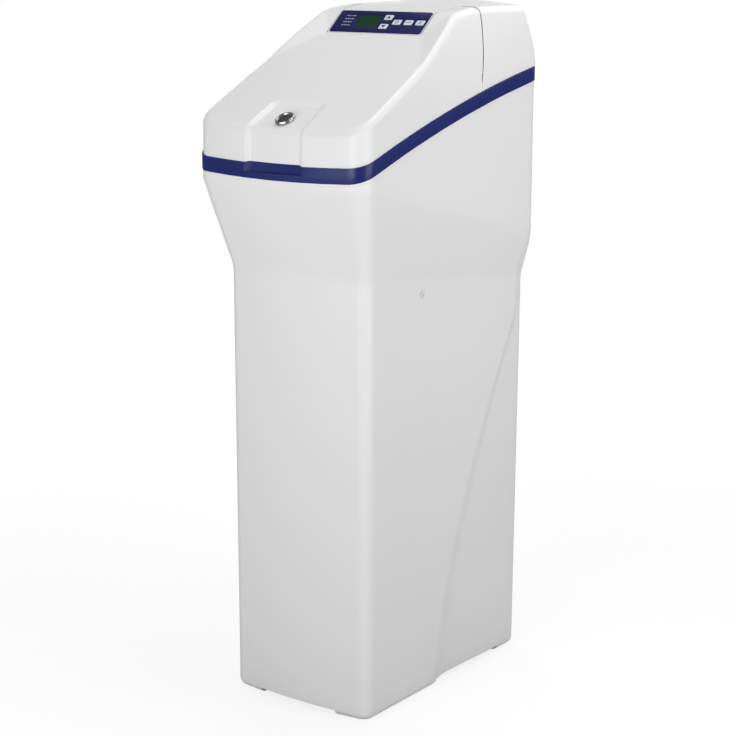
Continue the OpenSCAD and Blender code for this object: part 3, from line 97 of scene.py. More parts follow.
class SoftenerCabinetSizes(bpy.types.PropertyGroup):
    """Sizes of the moulded cabinet."""

    body_w: length("Body width", "Width of the straight lower body", 272)
    body_d: length("Body depth", "Depth of the straight lower body", 452)
    body_r: length("Body corner", "Radius of the upright corners", 22)
    wall: length("Wall", "Thickness of the moulding", 4)
    front_bow: length("Front bow", "Bulge of the front face in plan", 8)
    bend_front_z: length("Front bend", "Height where the front starts to flare", 700)
    bend_rear_z: length("Rear bend", "Height where the rear starts to flare", 650)
    rear_flare_h: length("Rear flare", "Height of the rear corners' flare", 95)
    front_flare: length("Front flare", "How far the front flares forward", 44)
    rear_widen: length("Rear widening", "Draft of each side towards the rear", 6)
    side_flare: length("Side flare", "How far each side flares outward", 25)
    rim_r: length("Rim corner", "Corner radius at the rim", 30)
    rim_front_z: length("Rim front", "Height of the rim at the front", 855)
    rim_rear_z: length("Rim rear", "Height of the rim at the rear", 985)
    rim_sag: length("Rim arc", "Rise of the rim's arc above its chord", 12)
    rim_lip: length("Rim lip", "How far the rim's lip stands out", 1)
    lip_h: length("Lip height", "Height of the rim's lip", 4)
    floor_z: length("Floor", "Height of the inside floor", 17)
    foot_h: length("Feet", "Height of the moulded feet", 9)
    foot_front_l: length("Front feet", "Length of the front feet", 205)
    foot_rear_l: length("Rear feet", "Length of the rear feet", 60)
    foot_w: length("Foot width", "Width of the feet along the front", 60)
    bottom_round: length("Bottom edge", "Rounding of the bottom edge", 12)
    recess_d: length("Recess depth", "Depth of the swept recess in each side", 8)
    recess_low_y: length("Recess start", "Start of the recess at the bottom", 215)
    recess_soft: length("Recess edge", "Soft width of its edge at the bottom", 52)
    plug_y: length("Plug place", "Side plugs behind the front face", 155)
    plug_z: length("Plug height", "Height of the side plugs", 667)
    plug_hole_r: length("Plug hole", "Radius of the plugs' holes", 3.2)
    plug_seat_r: length("Plug seat", "Radius of the seat around a plug's head", 6.1)
    plug_seat_d: length("Seat depth", "Depth of the plugs' seats", 1.6)
    overflow_x: length("Overflow place", "Overflow's hole from the middle", 84)
    overflow_z: length("Overflow height", "Height of the overflow's hole", 560)
    overflow_r: length("Overflow hole", "Radius of the overflow's hole", 9)
    port_hw: length("Port opening", "Half width of the ports' opening", 54)
    spigot_reach: length("Spigot reach", "Spigots' reach behind the cabinet", 26)


class SoftenerHoodSizes(bpy.types.PropertyGroup):
    """Sizes of the lid and the rear cover."""

    band_h: length("Band height", "Height of the collar band", 21.5)
    band_proud: length("Band proud", "How far the band stands out of the rim's lip", 0.5)
    total_h: length("Height", "Overall height", 1110)
    hood_wall: length("Hood wall", "Wall of the lid and of the rear cover", 3)
    hood_inset: length("Hood inset", "How far the hood stands back from the band", 1.7)
    hood_gap: length("Hood gap", "Gap between the band and the hood", 1.1)
    front_edge_z: length("Front edge", "Height of the lid's front edge", 934)
    panel_low_y: length("Panel place", "Depth of the panel's lower edge", 208)
    panel_l: length("Panel length", "Length of the sloping panel face", 53)
    tongue_hw: length("Tongue", "Half width of the rear cover's tongue", 91.5)
    lean_z: length("Lean height", "Height where the sides start to lean in", 950)
    lean_in: length("Lean", "How far the sides lean in at the top", 31)
    edge_round: length("Edge round", "Rounding where the roof meets the walls", 10)
    seam_y: length("Seam place", "Seam behind the front face, at the band", 276)
    seam_gap: length("Seam gap", "Gap of the seam", 1.6)
    seam_room: length("Seam room", "Extra gap of the drawn seam", 0.9)
    pocket_w: length("Pocket width", "Width of the lid's pocket at its floor", 92)
    pocket_l: length("Pocket length", "Length of the pocket up the slope", 65)
    pocket_d: length("Pocket depth", "Depth of the pocket", 5)
    pocket_draft: length("Pocket draft", "Sideways draft of the pocket's walls", 10)
    knuckle_r: length("Knuckle", "Radius of the lid's hinge knuckles", 7)
    knuckle_swell: length("Knuckle swell", "Extra radius of the drawn knuckles", 1.2)
    knuckle_x: length("Knuckle place", "Inner end of the knuckles from the middle", 100)
    bracket_w: length("Bracket", "Width of the hinge brackets", 12)
    lock_hole_r: length("Lock hole", "Radius of the hole for the lock", 12.55)
    facia_w: length("Facia width", "Width of the facia", 178)
    facia_h: length("Facia height", "Height of the facia along the slope", 49)
    ridge_rise: FloatProperty(name="Ridge rise", description="Rise of the ridges per depth", default=0.56)
    deck_rise: FloatProperty(name="Deck rise", description="Rise of the deck per depth", default=0.515)
    panel_angle: FloatProperty(name="Panel angle", description="Slope of the panel face",
                               default=math.radians(40.4), unit="ROTATION", subtype="ANGLE")
    seam_angle: FloatProperty(name="Seam angle", description="Backward lean of the seam",
                              default=math.radians(15.6), unit="ROTATION", subtype="ANGLE")


class SoftenerColours(bpy.types.PropertyGroup):
    """Colours of the finishes."""

    white: colour("White moulding", "Cabinet, lid and rear cover", "#E6E6E6")
    navy: colour("Navy band", "Collar", "#1F2966")
    facia: colour("Facia film", "Control panel", "#181B50")
    display: colour("Display", "Green display behind its window", "#153820")
    marks: colour("Facia marks", "Printed dashes", "#B9BEDA")
    key: colour("Keys", "Key caps", "#D5D8E2")
    key_mark: colour("Key marks", "Printed symbols on the keys", "#3C4060")
    dark: colour("Dark plastic", "Valve and boot", "#2A2B2D")
    natural: colour("Natural plastic", "Fittings and tubes", "#D9D8D2")
    vessel: colour("Vessel", "Wound resin vessel", "#4F7FA6")
    resin: colour("Resin", "Softening beads", "#A86F1E")
    float_orange: colour("Float", "Safety float", "#D8571C")
    board: colour("Board", "Circuit board", "#1C5A38")
    floor: colour("Floor", "Studio floor", "#FAFAFA")


class Sizes:
    """All sizes in millimetres, with the depth measured from the lower body's front face."""

    def __init__(self, scene):
        for group in (scene.softener_cabinet, scene.softener_hood):
            for key in group.__annotations__:
                value = getattr(group, key)
                plain = key in ("ridge_rise", "deck_rise", "panel_angle", "seam_angle")
                setattr(self, key, value if plain else value * 1000)
        self.front_y = -(self.body_d + self.spigot_reach - self.front_flare - self.rim_lip - self.band_proud) / 2
        self.rim_front = -self.front_flare
        self.rim_hw = self.body_w / 2 + self.side_flare
        rise = self.rim_rear_z - self.rim_front_z
        run = self.body_d + self.front_flare
        chord = math.hypot(run, rise)
        self.arc_r = (chord ** 2 / 4 + self.rim_sag ** 2) / (2 * self.rim_sag)
        self.arc_y = (self.rim_front + self.body_d) / 2 - rise / chord * (self.rim_sag - self.arc_r)
        self.arc_z = (self.rim_front_z + self.rim_rear_z) / 2 + run / chord * (self.rim_sag - self.arc_r)
        self.hood_out = self.hood_inset - self.rim_lip - self.band_proud
        self.hood_hw = self.rim_hw - self.hood_out
        self.deck_y0 = self.rim_front + 6
        self.lean_r = (self.lean_in ** 2 + (self.total_h - 8 - self.lean_z) ** 2) / (2 * self.lean_in)
        self.panel_top_y = self.panel_low_y + self.panel_l * math.cos(self.panel_angle)
        self.panel_top_z = self.deck_z(self.panel_low_y) + self.panel_l * math.sin(self.panel_angle)
        self.seam_z = self.rim_z(self.seam_y) + self.band_h
        self.hinge_z = self.panel_top_z + 6 - self.knuckle_r
        self.hinge_y = (self.seam_y + (self.hinge_z - self.seam_z) * math.tan(self.seam_angle)
                        - self.knuckle_r - self.seam_gap)
        self.lock_y = -14.0

    def rim_z(self, y):
        return self.arc_z + np.sqrt(self.arc_r ** 2 - (y - self.arc_y) ** 2)

    def deck_z(self, y):
        return self.front_edge_z + self.deck_rise * (y - self.deck_y0)

    def along(self, y):
        return (y - self.rim_front) / (self.body_d - self.rim_front)

    def side_x(self, z):
        up = np.clip(z - self.lean_z, 0, self.lean_r * 0.95)
        return self.hood_hw - self.lean_r + np.sqrt(self.lean_r ** 2 - up ** 2)

    def metres(self, points):
        """Points in the frame, in metres, from points measured from the front face."""
        p = np.array(points, dtype=float)
        p[..., 1] += self.front_y
        return p / 1000


# Meshes

def mesh_object(name, points, faces):
    """A new object at the origin with its place in its mesh."""
    mesh = bpy.data.meshes.new(name)
    mesh.from_pydata([tuple(p) for p in points], [], [tuple(int(i) for i in f) for f in faces])
    mesh.validate()
    obj = bpy.data.objects.new(name, mesh)
    bpy.context.scene.collection.objects.link(obj)
    return obj


def tidy(obj, merge=1e-6):
    """Merge doubles and turn the faces of a closed mesh outwards."""
    bm = bmesh.new()
    bm.from_mesh(obj.data)
    bmesh.ops.remove_doubles(bm, verts=bm.verts, dist=merge)
    bmesh.ops.dissolve_degenerate(bm, edges=bm.edges, dist=merge)
    bmesh.ops.recalc_face_normals(bm, faces=bm.faces)
    bm.to_mesh(obj.data)
    bm.free()
    return obj


def cut(obj, operation, *cutters):
    """Boolean each cutter into the object, bake the result and drop the cutters."""
    for cutter in cutters:
        mod = obj.modifiers.new("cut", "BOOLEAN")
        mod.operation = operation
        mod.solver = "EXACT"
        mod.object = cutter
        bake(obj)
        bpy.data.objects.remove(cutter)
    if not obj.data.polygons:
        raise RuntimeError("nothing is left of " + obj.name)
    return obj


def bake(obj):
    """Turn the modifiers' result into the object's plain mesh."""
    graph = bpy.context.evaluated_depsgraph_get()
    mesh = bpy.data.meshes.new_from_object(obj.evaluated_get(graph))
    obj.modifiers.clear()
    old = obj.data
    obj.data = mesh
    bpy.data.meshes.remove(old)


def copy_of(obj, name):
    """A twin of an object with a mesh of its own."""
    twin = bpy.data.objects.new(name, obj.data.copy())
    bpy.context.scene.collection.objects.link(twin)
    return twin


def box(name, low, high):
    """A closed box between two corners, in metres."""
    x0, y0, z0 = low
    x1, y1, z1 = high
    points = [(x, y, z) for z in (z0, z1) for x, y in ((x0, y0), (x1, y0), (x1, y1), (x0, y1))]
    return mesh_object(name, points, BOX_FACES)


def side_boxes(s, x0, x1, low, high):
    """A box on each side of the middle, between two distances from it and two corners of depth and height."""
    return [box("side_box", s.metres([min(q), *low]), s.metres([max(q), *high])) for q in ((-x0, -x1), (x0, x1))]


def ring_faces(n, count):
    """Quads between neighbouring rings of n points each."""
    return [(i * n + j, i * n + (j + 1) % n, (i + 1) * n + (j + 1) % n, (i + 1) * n + j)
            for i in range(count - 1) for j in range(n)]


def stack(name, rings):
    """A closed skin through rings of equal length, capped at both ends."""
    n = len(rings[0])
    ends = [tuple(range(n))[::-1], tuple(range((len(rings) - 1) * n, len(rings) * n))]
    return mesh_object(name, np.concatenate(rings), ring_faces(n, len(rings)) + ends)


def soften(obj, angle=32):
    """Smooth shading with edges sharper than the angle kept."""
    mesh = obj.data
    mesh.polygons.foreach_set("use_smooth", [True] * len(mesh.polygons))
    mesh.set_sharp_from_angle(angle=math.radians(angle))
    mesh.update()


def finish_piece(obj, body, slot, *nodes, ink=None):
    """Give a piece its slot's finish, or an ink, and let it stand for its CAD nodes on their body."""
    obj.data.materials.clear()
    obj.data.materials.append(ink or FINISH[slot])
    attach(obj, body)
    if nodes:
        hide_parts(*nodes)


def rounded_rect(w, h, r, n=6):
    """Outline of a rectangle with round corners, anticlockwise."""
    out = []
    for q, (sx, sy) in enumerate(((1, 1), (-1, 1), (-1, -1), (1, -1))):
        for a in np.radians(np.linspace(90 * q, 90 * q + 90, n + 1)):
            out.append((sx * (w / 2 - r) + r * math.cos(a), sy * (h / 2 - r) + r * math.sin(a)))
    return np.array(out)


def cylinder(name, start, end, r, n=48):
    """A closed cylinder between two points in metres."""
    a, b = Vector(start), Vector(end)
    axis = (b - a).normalized()
    side = axis.orthogonal().normalized()
    other = axis.cross(side)
    turn = [side * math.cos(t) + other * math.sin(t) for t in np.linspace(0, 2 * math.pi, n, endpoint=False)]
    return tidy(stack(name, [np.array([a + r * t for t in turn]), np.array([b + r * t for t in turn])]))


# Cabinet skin

def smooth_step(t):
    """Ease from 0 to 1."""
    t = np.clip(t, 0, 1)
    return t * t * (3 - 2 * t)


def flare(t, low, high):
    """Share of a flare's reach at a share of its height: straight, with a soft start and a soft end."""
    slope = 1 / (1 - low / 2 - high / 2)
    if t < low:
        return slope * t * t / (2 * low)
    if t > 1 - high:
        return 1 - slope * (1 - t) ** 2 / (2 * high)
    return slope * (t - low / 2)


def cabinet_ring(s, zone, t, inset, lift):
    """One ring of the cabinet's outer or inner skin, in the straight body, the flare or the rim."""
    def opened(back):
        return (0, flare(t, 0.15, 0.03 + 0.4 * back), 1)[zone]

    def half_width(back):
        f = opened(back)
        return s.body_w / 2 + s.rear_widen * smooth_step(back / 0.58 - 0.72) * (1 - f) + s.side_flare * f - inset

    f = opened(0)
    hw = half_width(0)
    yf = -s.front_flare * f + inset
    yb = s.body_d - inset
    r = s.body_r + (s.rim_r - s.body_r) * f - inset
    u = t if zone == 0 else 1.0
    soft = s.recess_soft + (10 - s.recess_soft) * u
    y0, y1 = yf + s.front_bow + r, yb - r
    crease = min(s.recess_low_y + (s.body_d - s.recess_low_y) * u ** 1.5, y1 - soft / 2 - 2)
    depth = s.recess_d * (1 - 0.65 * u) * (1 - opened(1))
    half = [((hw - r) * k / 12, yf + s.front_bow * (k / 12) ** 2) for k in range(13)]
    half += [(hw - r + r * math.cos(a), yf + s.front_bow + r + r * math.sin(a))
             for a in np.radians(np.linspace(-90, 0, 13)[1:])]
    step = np.linspace(crease - soft / 2, crease + soft / 2, 11)
    side = np.concatenate([np.linspace(y0, step[0] - 1.5, 19)[1:], step, np.linspace(step[-1] + 1.5, y1, 7)[:-1]])
    half += [(half_width((y - y0) / (y1 - y0)) - depth * smooth_step((y - step[0]) / soft), y) for y in side]
    hw = half_width(1) - depth
    half += [(hw - r + r * math.cos(a), y1 + r * math.sin(a)) for a in np.radians(np.linspace(0, 90, 13))]
    half += [((hw - r) * (1 - k / 4), yb) for k in range(1, 5)]
    half = np.array(half)
    full = np.concatenate([half, (half * [-1, 1])[-2:0:-1]])
    y = full[:, 1]
    bounds = [np.zeros_like(y),
              s.bend_front_z + (s.bend_rear_z - s.bend_front_z) * s.along(y),
              s.rim_front_z - s.lip_h - 1
              + (s.bend_rear_z + s.rear_flare_h - s.rim_front_z + s.lip_h + 1) * s.along(y),
              s.rim_z(y) - 0.05]
    z = bounds[zone] + (bounds[zone + 1] - bounds[zone]) * t + lift
    return s.metres(np.column_stack([full, z]))


def cabinet_skin(s):
    """The whole cabinet: outer skin, lip and inner skin, with its feet and openings cut."""
    br = s.bottom_round
    rings = [cabinet_ring(s, 0, 0, br * (1 - math.sin(a)), br * (1 - math.cos(a)))
             for a in np.radians(np.linspace(0, 90, 7))]
    straight = np.linspace(0.04, 1, 26)
    bend = np.linspace(0, 1, 25)[1:]
    rings += [cabinet_ring(s, 0, t, 0, 0) for t in straight]
    rings += [cabinet_ring(s, 1, t, 0, 0) for t in bend]
    rings += [cabinet_ring(s, 2, t, 0, 0) for t in (0.02, 0.06, 0.3, 0.6)]
    rings += [cabinet_ring(s, 2, 1, out, lift) for out, lift in
              ((0, -s.lip_h - 1), (-s.rim_lip * 0.7, -s.lip_h - 0.3), (-s.rim_lip, -s.lip_h + 0.5), (-s.rim_lip, 0),
               (s.wall, 0))]
    rings += [cabinet_ring(s, 2, 0, s.wall, 0)]
    rings += [cabinet_ring(s, 1, t, s.wall, 0) for t in bend[-2::-1]]
    rings += [cabinet_ring(s, 0, t, s.wall, 0) for t in straight[::-1]]
    rings += [cabinet_ring(s, 0, 0, s.wall, s.floor_z)]
    obj = tidy(stack("cabinet_skin", rings))
    m = s.metres
    port_z = s.rim_rear_z - 55
    plugs = [cylinder(name, m([side * (s.body_w / 2 - depth), s.plug_y, s.plug_z]),
                      m([side * (s.body_w / 2 + 9), s.plug_y, s.plug_z]), r / 1000, n)
             for name, r, depth, n in (("plug_hole", s.plug_hole_r, 12, 24),
                                       ("plug_seat", s.plug_seat_r, s.plug_seat_d, 40))
             for side in (1, -1)]
    cut(obj, "DIFFERENCE",
        box("between_feet_side", m([-400, s.foot_front_l, -5]), m([400, s.body_d - s.foot_rear_l, s.foot_h])),
        box("between_feet_front", m([-s.body_w / 2 + s.foot_w, -30, -5]),
            m([s.body_w / 2 - s.foot_w, s.body_d + 30, s.foot_h])),
        box("port_opening", m([-s.port_hw, s.body_d - s.wall - 10, port_z - 28]),
            m([s.port_hw, s.body_d + 20, port_z + 44])),
        cylinder("overflow_hole", m([s.overflow_x, s.body_d - 20, s.overflow_z]),
                 m([s.overflow_x, s.body_d + 20, s.overflow_z]), s.overflow_r / 1000),
        *plugs)
    soften(obj, 34)
    return obj


def plug_heads(s):
    """Both side plugs: a dished head with a core hole, and the shank in the wall."""
    # Profile as distances out of the wall and from the plug's axis
    profile = ((-2.6, 0.02), (-2.6, 1.5), (0.9, 1.7), (1.2, 2.1), (0.8, 2.8), (1.2, 3.5), (1.0, 4.1), (0.5, 4.5),
               (-s.plug_seat_d, 4.4), (-s.plug_seat_d, 3.05), (-s.wall - 2, 3.0), (-s.wall - 2, 0.02))
    turn = np.linspace(0, 2 * math.pi, 40, endpoint=False)
    heads = []
    for side in (1, -1):
        rings = [s.metres([(side * (s.body_w / 2 + out), s.plug_y + r * math.cos(a), s.plug_z + r * math.sin(a))
                           for a in turn]) for out, r in profile]
        heads.append(tidy(stack("side_plug_heads", rings)))
    plugs = joined("side_plug_heads", heads)
    soften(plugs, 40)
    return plugs


# Hood skins: the lid and the rear cover are cut from one rounded form

def soft_min(a, b, k):
    """The smaller of two heights, rounded where they meet."""
    h = np.clip(0.5 + 0.5 * (b - a) / k, 0, 1)
    return b + (a - b) * h - k * h * (1 - h)


def soft_max(a, b, k):
    """The larger of two heights, rounded where they meet."""
    return -soft_min(-a, -b, k)


def roof_z(s, x, y):
    """Height of the hood's roof: ridges and crowned top, with the deck, the panel and its facets sunk in."""
    ax = np.abs(x)
    ridge = s.front_edge_z + s.ridge_rise * (y - s.deck_y0)
    mid_y, mid_z = s.panel_top_y + 55, s.panel_top_z + 7
    end_y = s.body_d - 16
    start_z = s.panel_top_z - 0.2
    top = np.where(y < mid_y, start_z + (mid_z - start_z) * (y - s.panel_top_y) / 55,
                   mid_z + (s.total_h - mid_z) * (y - mid_y) / (end_y - mid_y))
    crown = s.total_h - 8 * (ax / 129) ** 2
    convex = soft_min(soft_min(ridge, top, 5), crown, 4)
    low = s.deck_z(s.panel_low_y)
    deck = s.deck_z(y)
    panel = low + math.tan(s.panel_angle) * (y - s.panel_low_y)
    shoulder = s.front_edge_z + s.ridge_rise * (s.panel_low_y - s.deck_y0)
    slope = (shoulder - low) / (float(s.side_x(shoulder)) - s.tongue_hw)
    facet = low + slope * (ax - s.tongue_hw) + (s.ridge_rise + 0.12) * (y - s.panel_low_y)
    valley = np.maximum(soft_max(deck, facet, 1.2), panel)
    return soft_min(convex, valley, 2.5)


def hood_field(s, x, y, z):
    """Signed distance to the hood's rounded outside: below zero inside."""
    rc = s.rim_r - s.hood_out - 14 * smooth_step((y - s.seam_y) / 120)
    bend, foot = s.rim_rear_z + 52, s.rim_front_z - 50
    front_h, bow_hw = 129, 131
    waist = s.body_d - 4
    yf = (-s.front_flare - s.hood_out - 0.8 + 3 * (z - foot) / front_h
          + s.front_bow * (np.minimum(np.abs(x), bow_hw) / bow_hw) ** 2)
    yr = np.where(z < bend, s.body_d + (waist - s.body_d) * (z - foot) / (bend - foot),
                  waist + (s.body_d - 16 - waist) * (z - bend) / (s.total_h - bend))
    rear = smooth_step((y - s.seam_y) / 160)
    qx = np.abs(x) - (s.side_x(z - 22 * rear) - rc)
    qy = np.maximum(yf + rc - y, y - (yr - rc))
    wall = np.minimum(np.maximum(qx, qy), 0) + np.hypot(np.maximum(qx, 0), np.maximum(qy, 0)) - rc
    steep = smooth_step((s.panel_top_y + 20 - y) / 40)
    roof = (z - roof_z(s, x, y)) / np.sqrt(1 + (0.06 + 0.48 * steep) ** 2)
    r = s.edge_round
    corner = np.hypot(np.maximum(wall + r, 0), np.maximum(roof + r, 0)) - r
    return np.where(np.maximum(wall, roof) > -r, corner, np.maximum(wall, roof))


def pocket_depth(s, x, y):
    """Depth of the lid's pocket below the hood's skin: a drafted tray with round corners, open to the front."""
    r = 15
    half = s.pocket_w / 2 + s.pocket_draft - 4 * np.clip((y - s.deck_y0) / 70, 0, 1)
    end = s.deck_y0 + s.pocket_l * math.cos(math.atan(s.deck_rise)) + s.pocket_draft
    qx = np.abs(x) - (half - r)
    qy = y - (end - r)
    edge = np.hypot(np.maximum(qx, 0), np.maximum(qy, 0)) + np.minimum(np.maximum(qx, qy), 0) - r
    return s.pocket_d * smooth_step(-edge / s.pocket_draft)


def spaced(*runs):
    """Values along runs of (start, end, step), with the joints counted once."""
    out = [np.array([runs[0][0]], dtype=float)]
    for start, end, step in runs:
        out.append(np.linspace(start, end, int(math.ceil(abs(end - start) / step)) + 1)[1:])
    return np.concatenate(out)


def hood_solid(s, name, inset, drop):
    """Closed form of the hood's outside, or of its inside when inset, standing on the band's top line."""
    cx, ya, yb = 100.0, 48.0, 395.0
    half = spaced((0, 40, 8), (40, 60, 1.4), (60, cx, 4))
    xs = np.concatenate([-half[:0:-1], half])
    ys = spaced((ya, 196, 6), (196, 262, 2.5), (262, yb, 6))

    def fan(x, y, low, high, n):
        return [(x, y, math.cos(a), math.sin(a)) for a in np.radians(np.linspace(low, high, n)[1:-1])]

    loop = [(x, ya, 0, -1) for x in xs] + fan(cx, ya, -90, 0, 30) + [(cx, y, 1, 0) for y in ys]
    loop += fan(cx, yb, 0, 90, 24) + [(x, yb, 0, 1) for x in xs[::-1]] + fan(-cx, yb, 90, 180, 24)
    loop += [(-cx, y, -1, 0) for y in ys[::-1]] + fan(-cx, ya, 180, 270, 30)
    loop = np.array(loop)
    core, out = loop[:, :2], loop[:, 2:]

    def solve(place, shape):
        near, far = np.zeros(shape), np.full(shape, 420.0)
        for _ in range(34):
            mid = (near + far) / 2
            x, y, z = place(mid)
            inside = hood_field(s, x, y, z) + pocket_depth(s, x, y) < -inset
            near, far = np.where(inside, mid, near), np.where(inside, far, mid)
        return np.stack(place((near + far) / 2), axis=-1)

    # The lower edge follows the band's top line at the wall
    base = s.rim_z(core[:, 1]) + s.band_h + s.hood_gap
    for _ in range(4):
        wall = solve(lambda d: (core[:, 0] + out[:, 0] * d, core[:, 1] + out[:, 1] * d, base), len(core))
        base = s.rim_z(wall[:, 1]) + s.band_h + s.hood_gap
    phi = np.linspace(0, math.pi / 2, 260)
    flat, lift = np.cos(phi)[None, :], np.sin(phi)[None, :]
    grid = solve(lambda d: (core[:, 0, None] + out[:, 0, None] * flat * d,
                            core[:, 1, None] + out[:, 1, None] * flat * d,
                            base[:, None] + lift * d), (len(core), len(phi)))
    # Points gather where a profile turns, so that the round edges stay smooth
    rows = []
    for line in grid:
        seg = np.diff(line, axis=0)
        size = np.linalg.norm(seg, axis=1)
        unit = seg / np.maximum(size, 1e-9)[:, None]
        turn = np.concatenate([[0], np.arccos(np.clip((unit[1:] * unit[:-1]).sum(1), -1, 1))])
        weight = size / 6 + np.degrees(np.minimum(turn, 0.2)) / 5
        weight = np.convolve(np.pad(weight, 4, mode="edge"), np.ones(9) / 9, mode="valid")
        run = np.concatenate([[0], np.cumsum(weight)])
        want = np.linspace(0, run[-1], 60)
        rows.append(np.stack([np.interp(want, run, line[:, k]) for k in range(3)], axis=1))
    rows = np.stack(rows, axis=1)
    low = s.rim_front_z - 20 - drop
    under = np.column_stack([core, np.full(len(core), low)])
    foot = rows[0].copy()
    if drop:
        foot[:, 2] = low
    else:
        foot[:, :2] -= out * 6
    rings = [under, foot] + list(rows)
    n = len(core)
    faces = ring_faces(n, len(rings))
    gx, gy = np.meshgrid(xs, ys)
    roof = solve(lambda d: (gx, gy, s.rim_z(gy) + s.band_h + d), gx.shape)
    caps = [np.stack([gx, gy, np.full(gx.shape, low)], axis=-1), roof]
    points = [s.metres(r) for r in rings] + [s.metres(c.reshape(-1, 3)) for c in caps]
    start, w = len(rings) * n, len(xs)
    for k in range(2):
        at = start + k * gx.size
        faces += [(at + j * w + i, at + j * w + i + 1, at + (j + 1) * w + i + 1, at + (j + 1) * w + i)
                  for j in range(len(ys) - 1) for i in range(w - 1)]
    return tidy(mesh_object(name, np.concatenate(points), faces), 2e-5)


def on_slope(s, y, angle, z, points):
    """Points given across, up and out of a slope that passes through depth y at height z."""
    p = np.array(points, dtype=float)
    c, n = math.cos(angle), math.sin(angle)
    return s.metres(np.column_stack([p[:, 0], y + p[:, 1] * c - p[:, 2] * n, z + p[:, 1] * n + p[:, 2] * c]))


def behind_seam(s, shift):
    """Everything behind the leaning seam."""
    low = [(-400, 0, -400), (400, 0, -400), (400, 400, -400), (-400, 400, -400)]
    points = np.array(low + [(x, y, 400) for x, y, _ in low])
    c, n = math.cos(s.seam_angle), math.sin(s.seam_angle)
    turned = np.column_stack([points[:, 0], s.seam_y + shift + points[:, 1] * c + points[:, 2] * n,
                              s.seam_z - points[:, 1] * n + points[:, 2] * c])
    return tidy(mesh_object("behind_seam", s.metres(turned), BOX_FACES))


def tongue(s, gap):
    """Upright prism of the rear cover's tongue."""
    hw, kx = s.tongue_hw + gap, s.knuckle_x - s.seam_gap + gap
    right = [(hw, s.panel_low_y - gap), (hw, s.panel_top_y), (kx, s.hinge_y - 3 * s.knuckle_r), (kx, s.hinge_y + 90)]
    plan = right + [(-x, y) for x, y in right[::-1]]
    return tidy(stack("tongue", [s.metres([(x, y, z) for x, y in plan])
                                 for z in (s.panel_top_z - 80, s.panel_top_z + 120)]))


def hinge_bars(s, name, x0, x1, r, block=None):
    """A bar along the hinge line on each side, as one mesh, with an optional block in front of it."""
    ends = [s.metres([x, s.hinge_y, s.hinge_z]) for x in sorted((-x0, -x1, x0, x1))]
    parts = [cylinder(name, a, b, r / 1000) for a, b in (ends[:2], ends[2:])]
    if block:
        parts += side_boxes(s, x0, x1, *[(s.hinge_y + y, s.hinge_z + z) for y, z in block])
    return joined(name, parts)


def joined(name, parts):
    """Several meshes as one object."""
    bm = bmesh.new()
    for part in parts:
        bm.from_mesh(part.data)
        bpy.data.objects.remove(part)
    obj = mesh_object(name, [], [])
    bm.to_mesh(obj.data)
    bm.free()
    return obj


def wall_x(s, y, z, inset):
    """Half width of the hood at a depth and height, at some distance below its skin."""
    inner, outer = 60.0, 220.0
    for _ in range(30):
        x = (inner + outer) / 2
        inner, outer = (x, outer) if hood_field(s, x, y, z) < -inset else (inner, x)
    return x


def along_seam(s, name, low, profile):
    """A strip along the seam on each side, below the hinge; its profile lies behind the seam and below the skin."""
    parts = []
    for side in (-1, 1):
        rings = []
        for z in np.linspace(s.seam_z + low, s.hinge_z - s.knuckle_r - 4, 24):
            at = [(s.seam_y + back + (z - s.seam_z) * math.tan(s.seam_angle), inset) for back, inset in profile]
            rings.append(s.metres([(side * wall_x(s, y, z, inset), y, z) for y, inset in at]))
        parts.append(tidy(stack(name, rings)))
    return parts


def hood_shell(s):
    """Thin shell of the whole hood, with the pocket formed in both skins."""
    return cut(hood_solid(s, "hood_shell", 0, 0), "DIFFERENCE", hood_solid(s, "hood_inside", s.hood_wall, 12))


def lid_skin(s, shell):
    """Salt lid: the shell in front of the seam, with its knuckles and the hole for the lock."""
    lid = copy_of(shell, "salt_lid_skin")
    gap = s.seam_gap / 2
    cut(lid, "DIFFERENCE", behind_seam(s, -gap), tongue(s, gap),
        box("above_hinge", s.metres([-400, s.hinge_y, s.hinge_z - s.knuckle_r]), s.metres([400, 800, 1400])))
    r = s.knuckle_r
    bars = hinge_bars(s, "knuckles", s.knuckle_x, 200, r + s.knuckle_swell)
    blocks = side_boxes(s, s.knuckle_x, 200, (s.hinge_y - 2 * r, s.hinge_z - r), (s.hinge_y, s.hinge_z + r))
    cut(bars, "UNION", joined("knuckle_blocks", blocks))
    cut(bars, "INTERSECT", hood_solid(s, "hood_trim", 0.5, 0))
    cut(lid, "UNION", bars)
    angle = math.atan(s.deck_rise)
    hole = on_slope(s, s.lock_y, angle, float(s.deck_z(s.lock_y)), [(0, 0, -30), (0, 0, 10)])
    cut(lid, "DIFFERENCE", cylinder("lock_hole", hole[0], hole[1], s.lock_hole_r / 1000, 48))
    edge = ((-gap - 2.4, 1), (-gap - 2.4, 9), (-gap, 9), (-gap, 1))
    lid = joined("salt_lid_skin", [lid] + along_seam(s, "turned_edge", 2, edge))
    soften(lid, 28)
    return lid


def panel_plate(s, name, x, v, w, h, r, z0, z1):
    """A plate with round corners on the panel's slope."""
    flat = rounded_rect(w, h, r) + [x, v + s.panel_l / 2]
    return tidy(stack(name, [on_slope(s, s.panel_low_y, s.panel_angle, float(s.deck_z(s.panel_low_y)),
                                      np.column_stack([flat, np.full(len(flat), z)])) for z in (z0, z1)]))


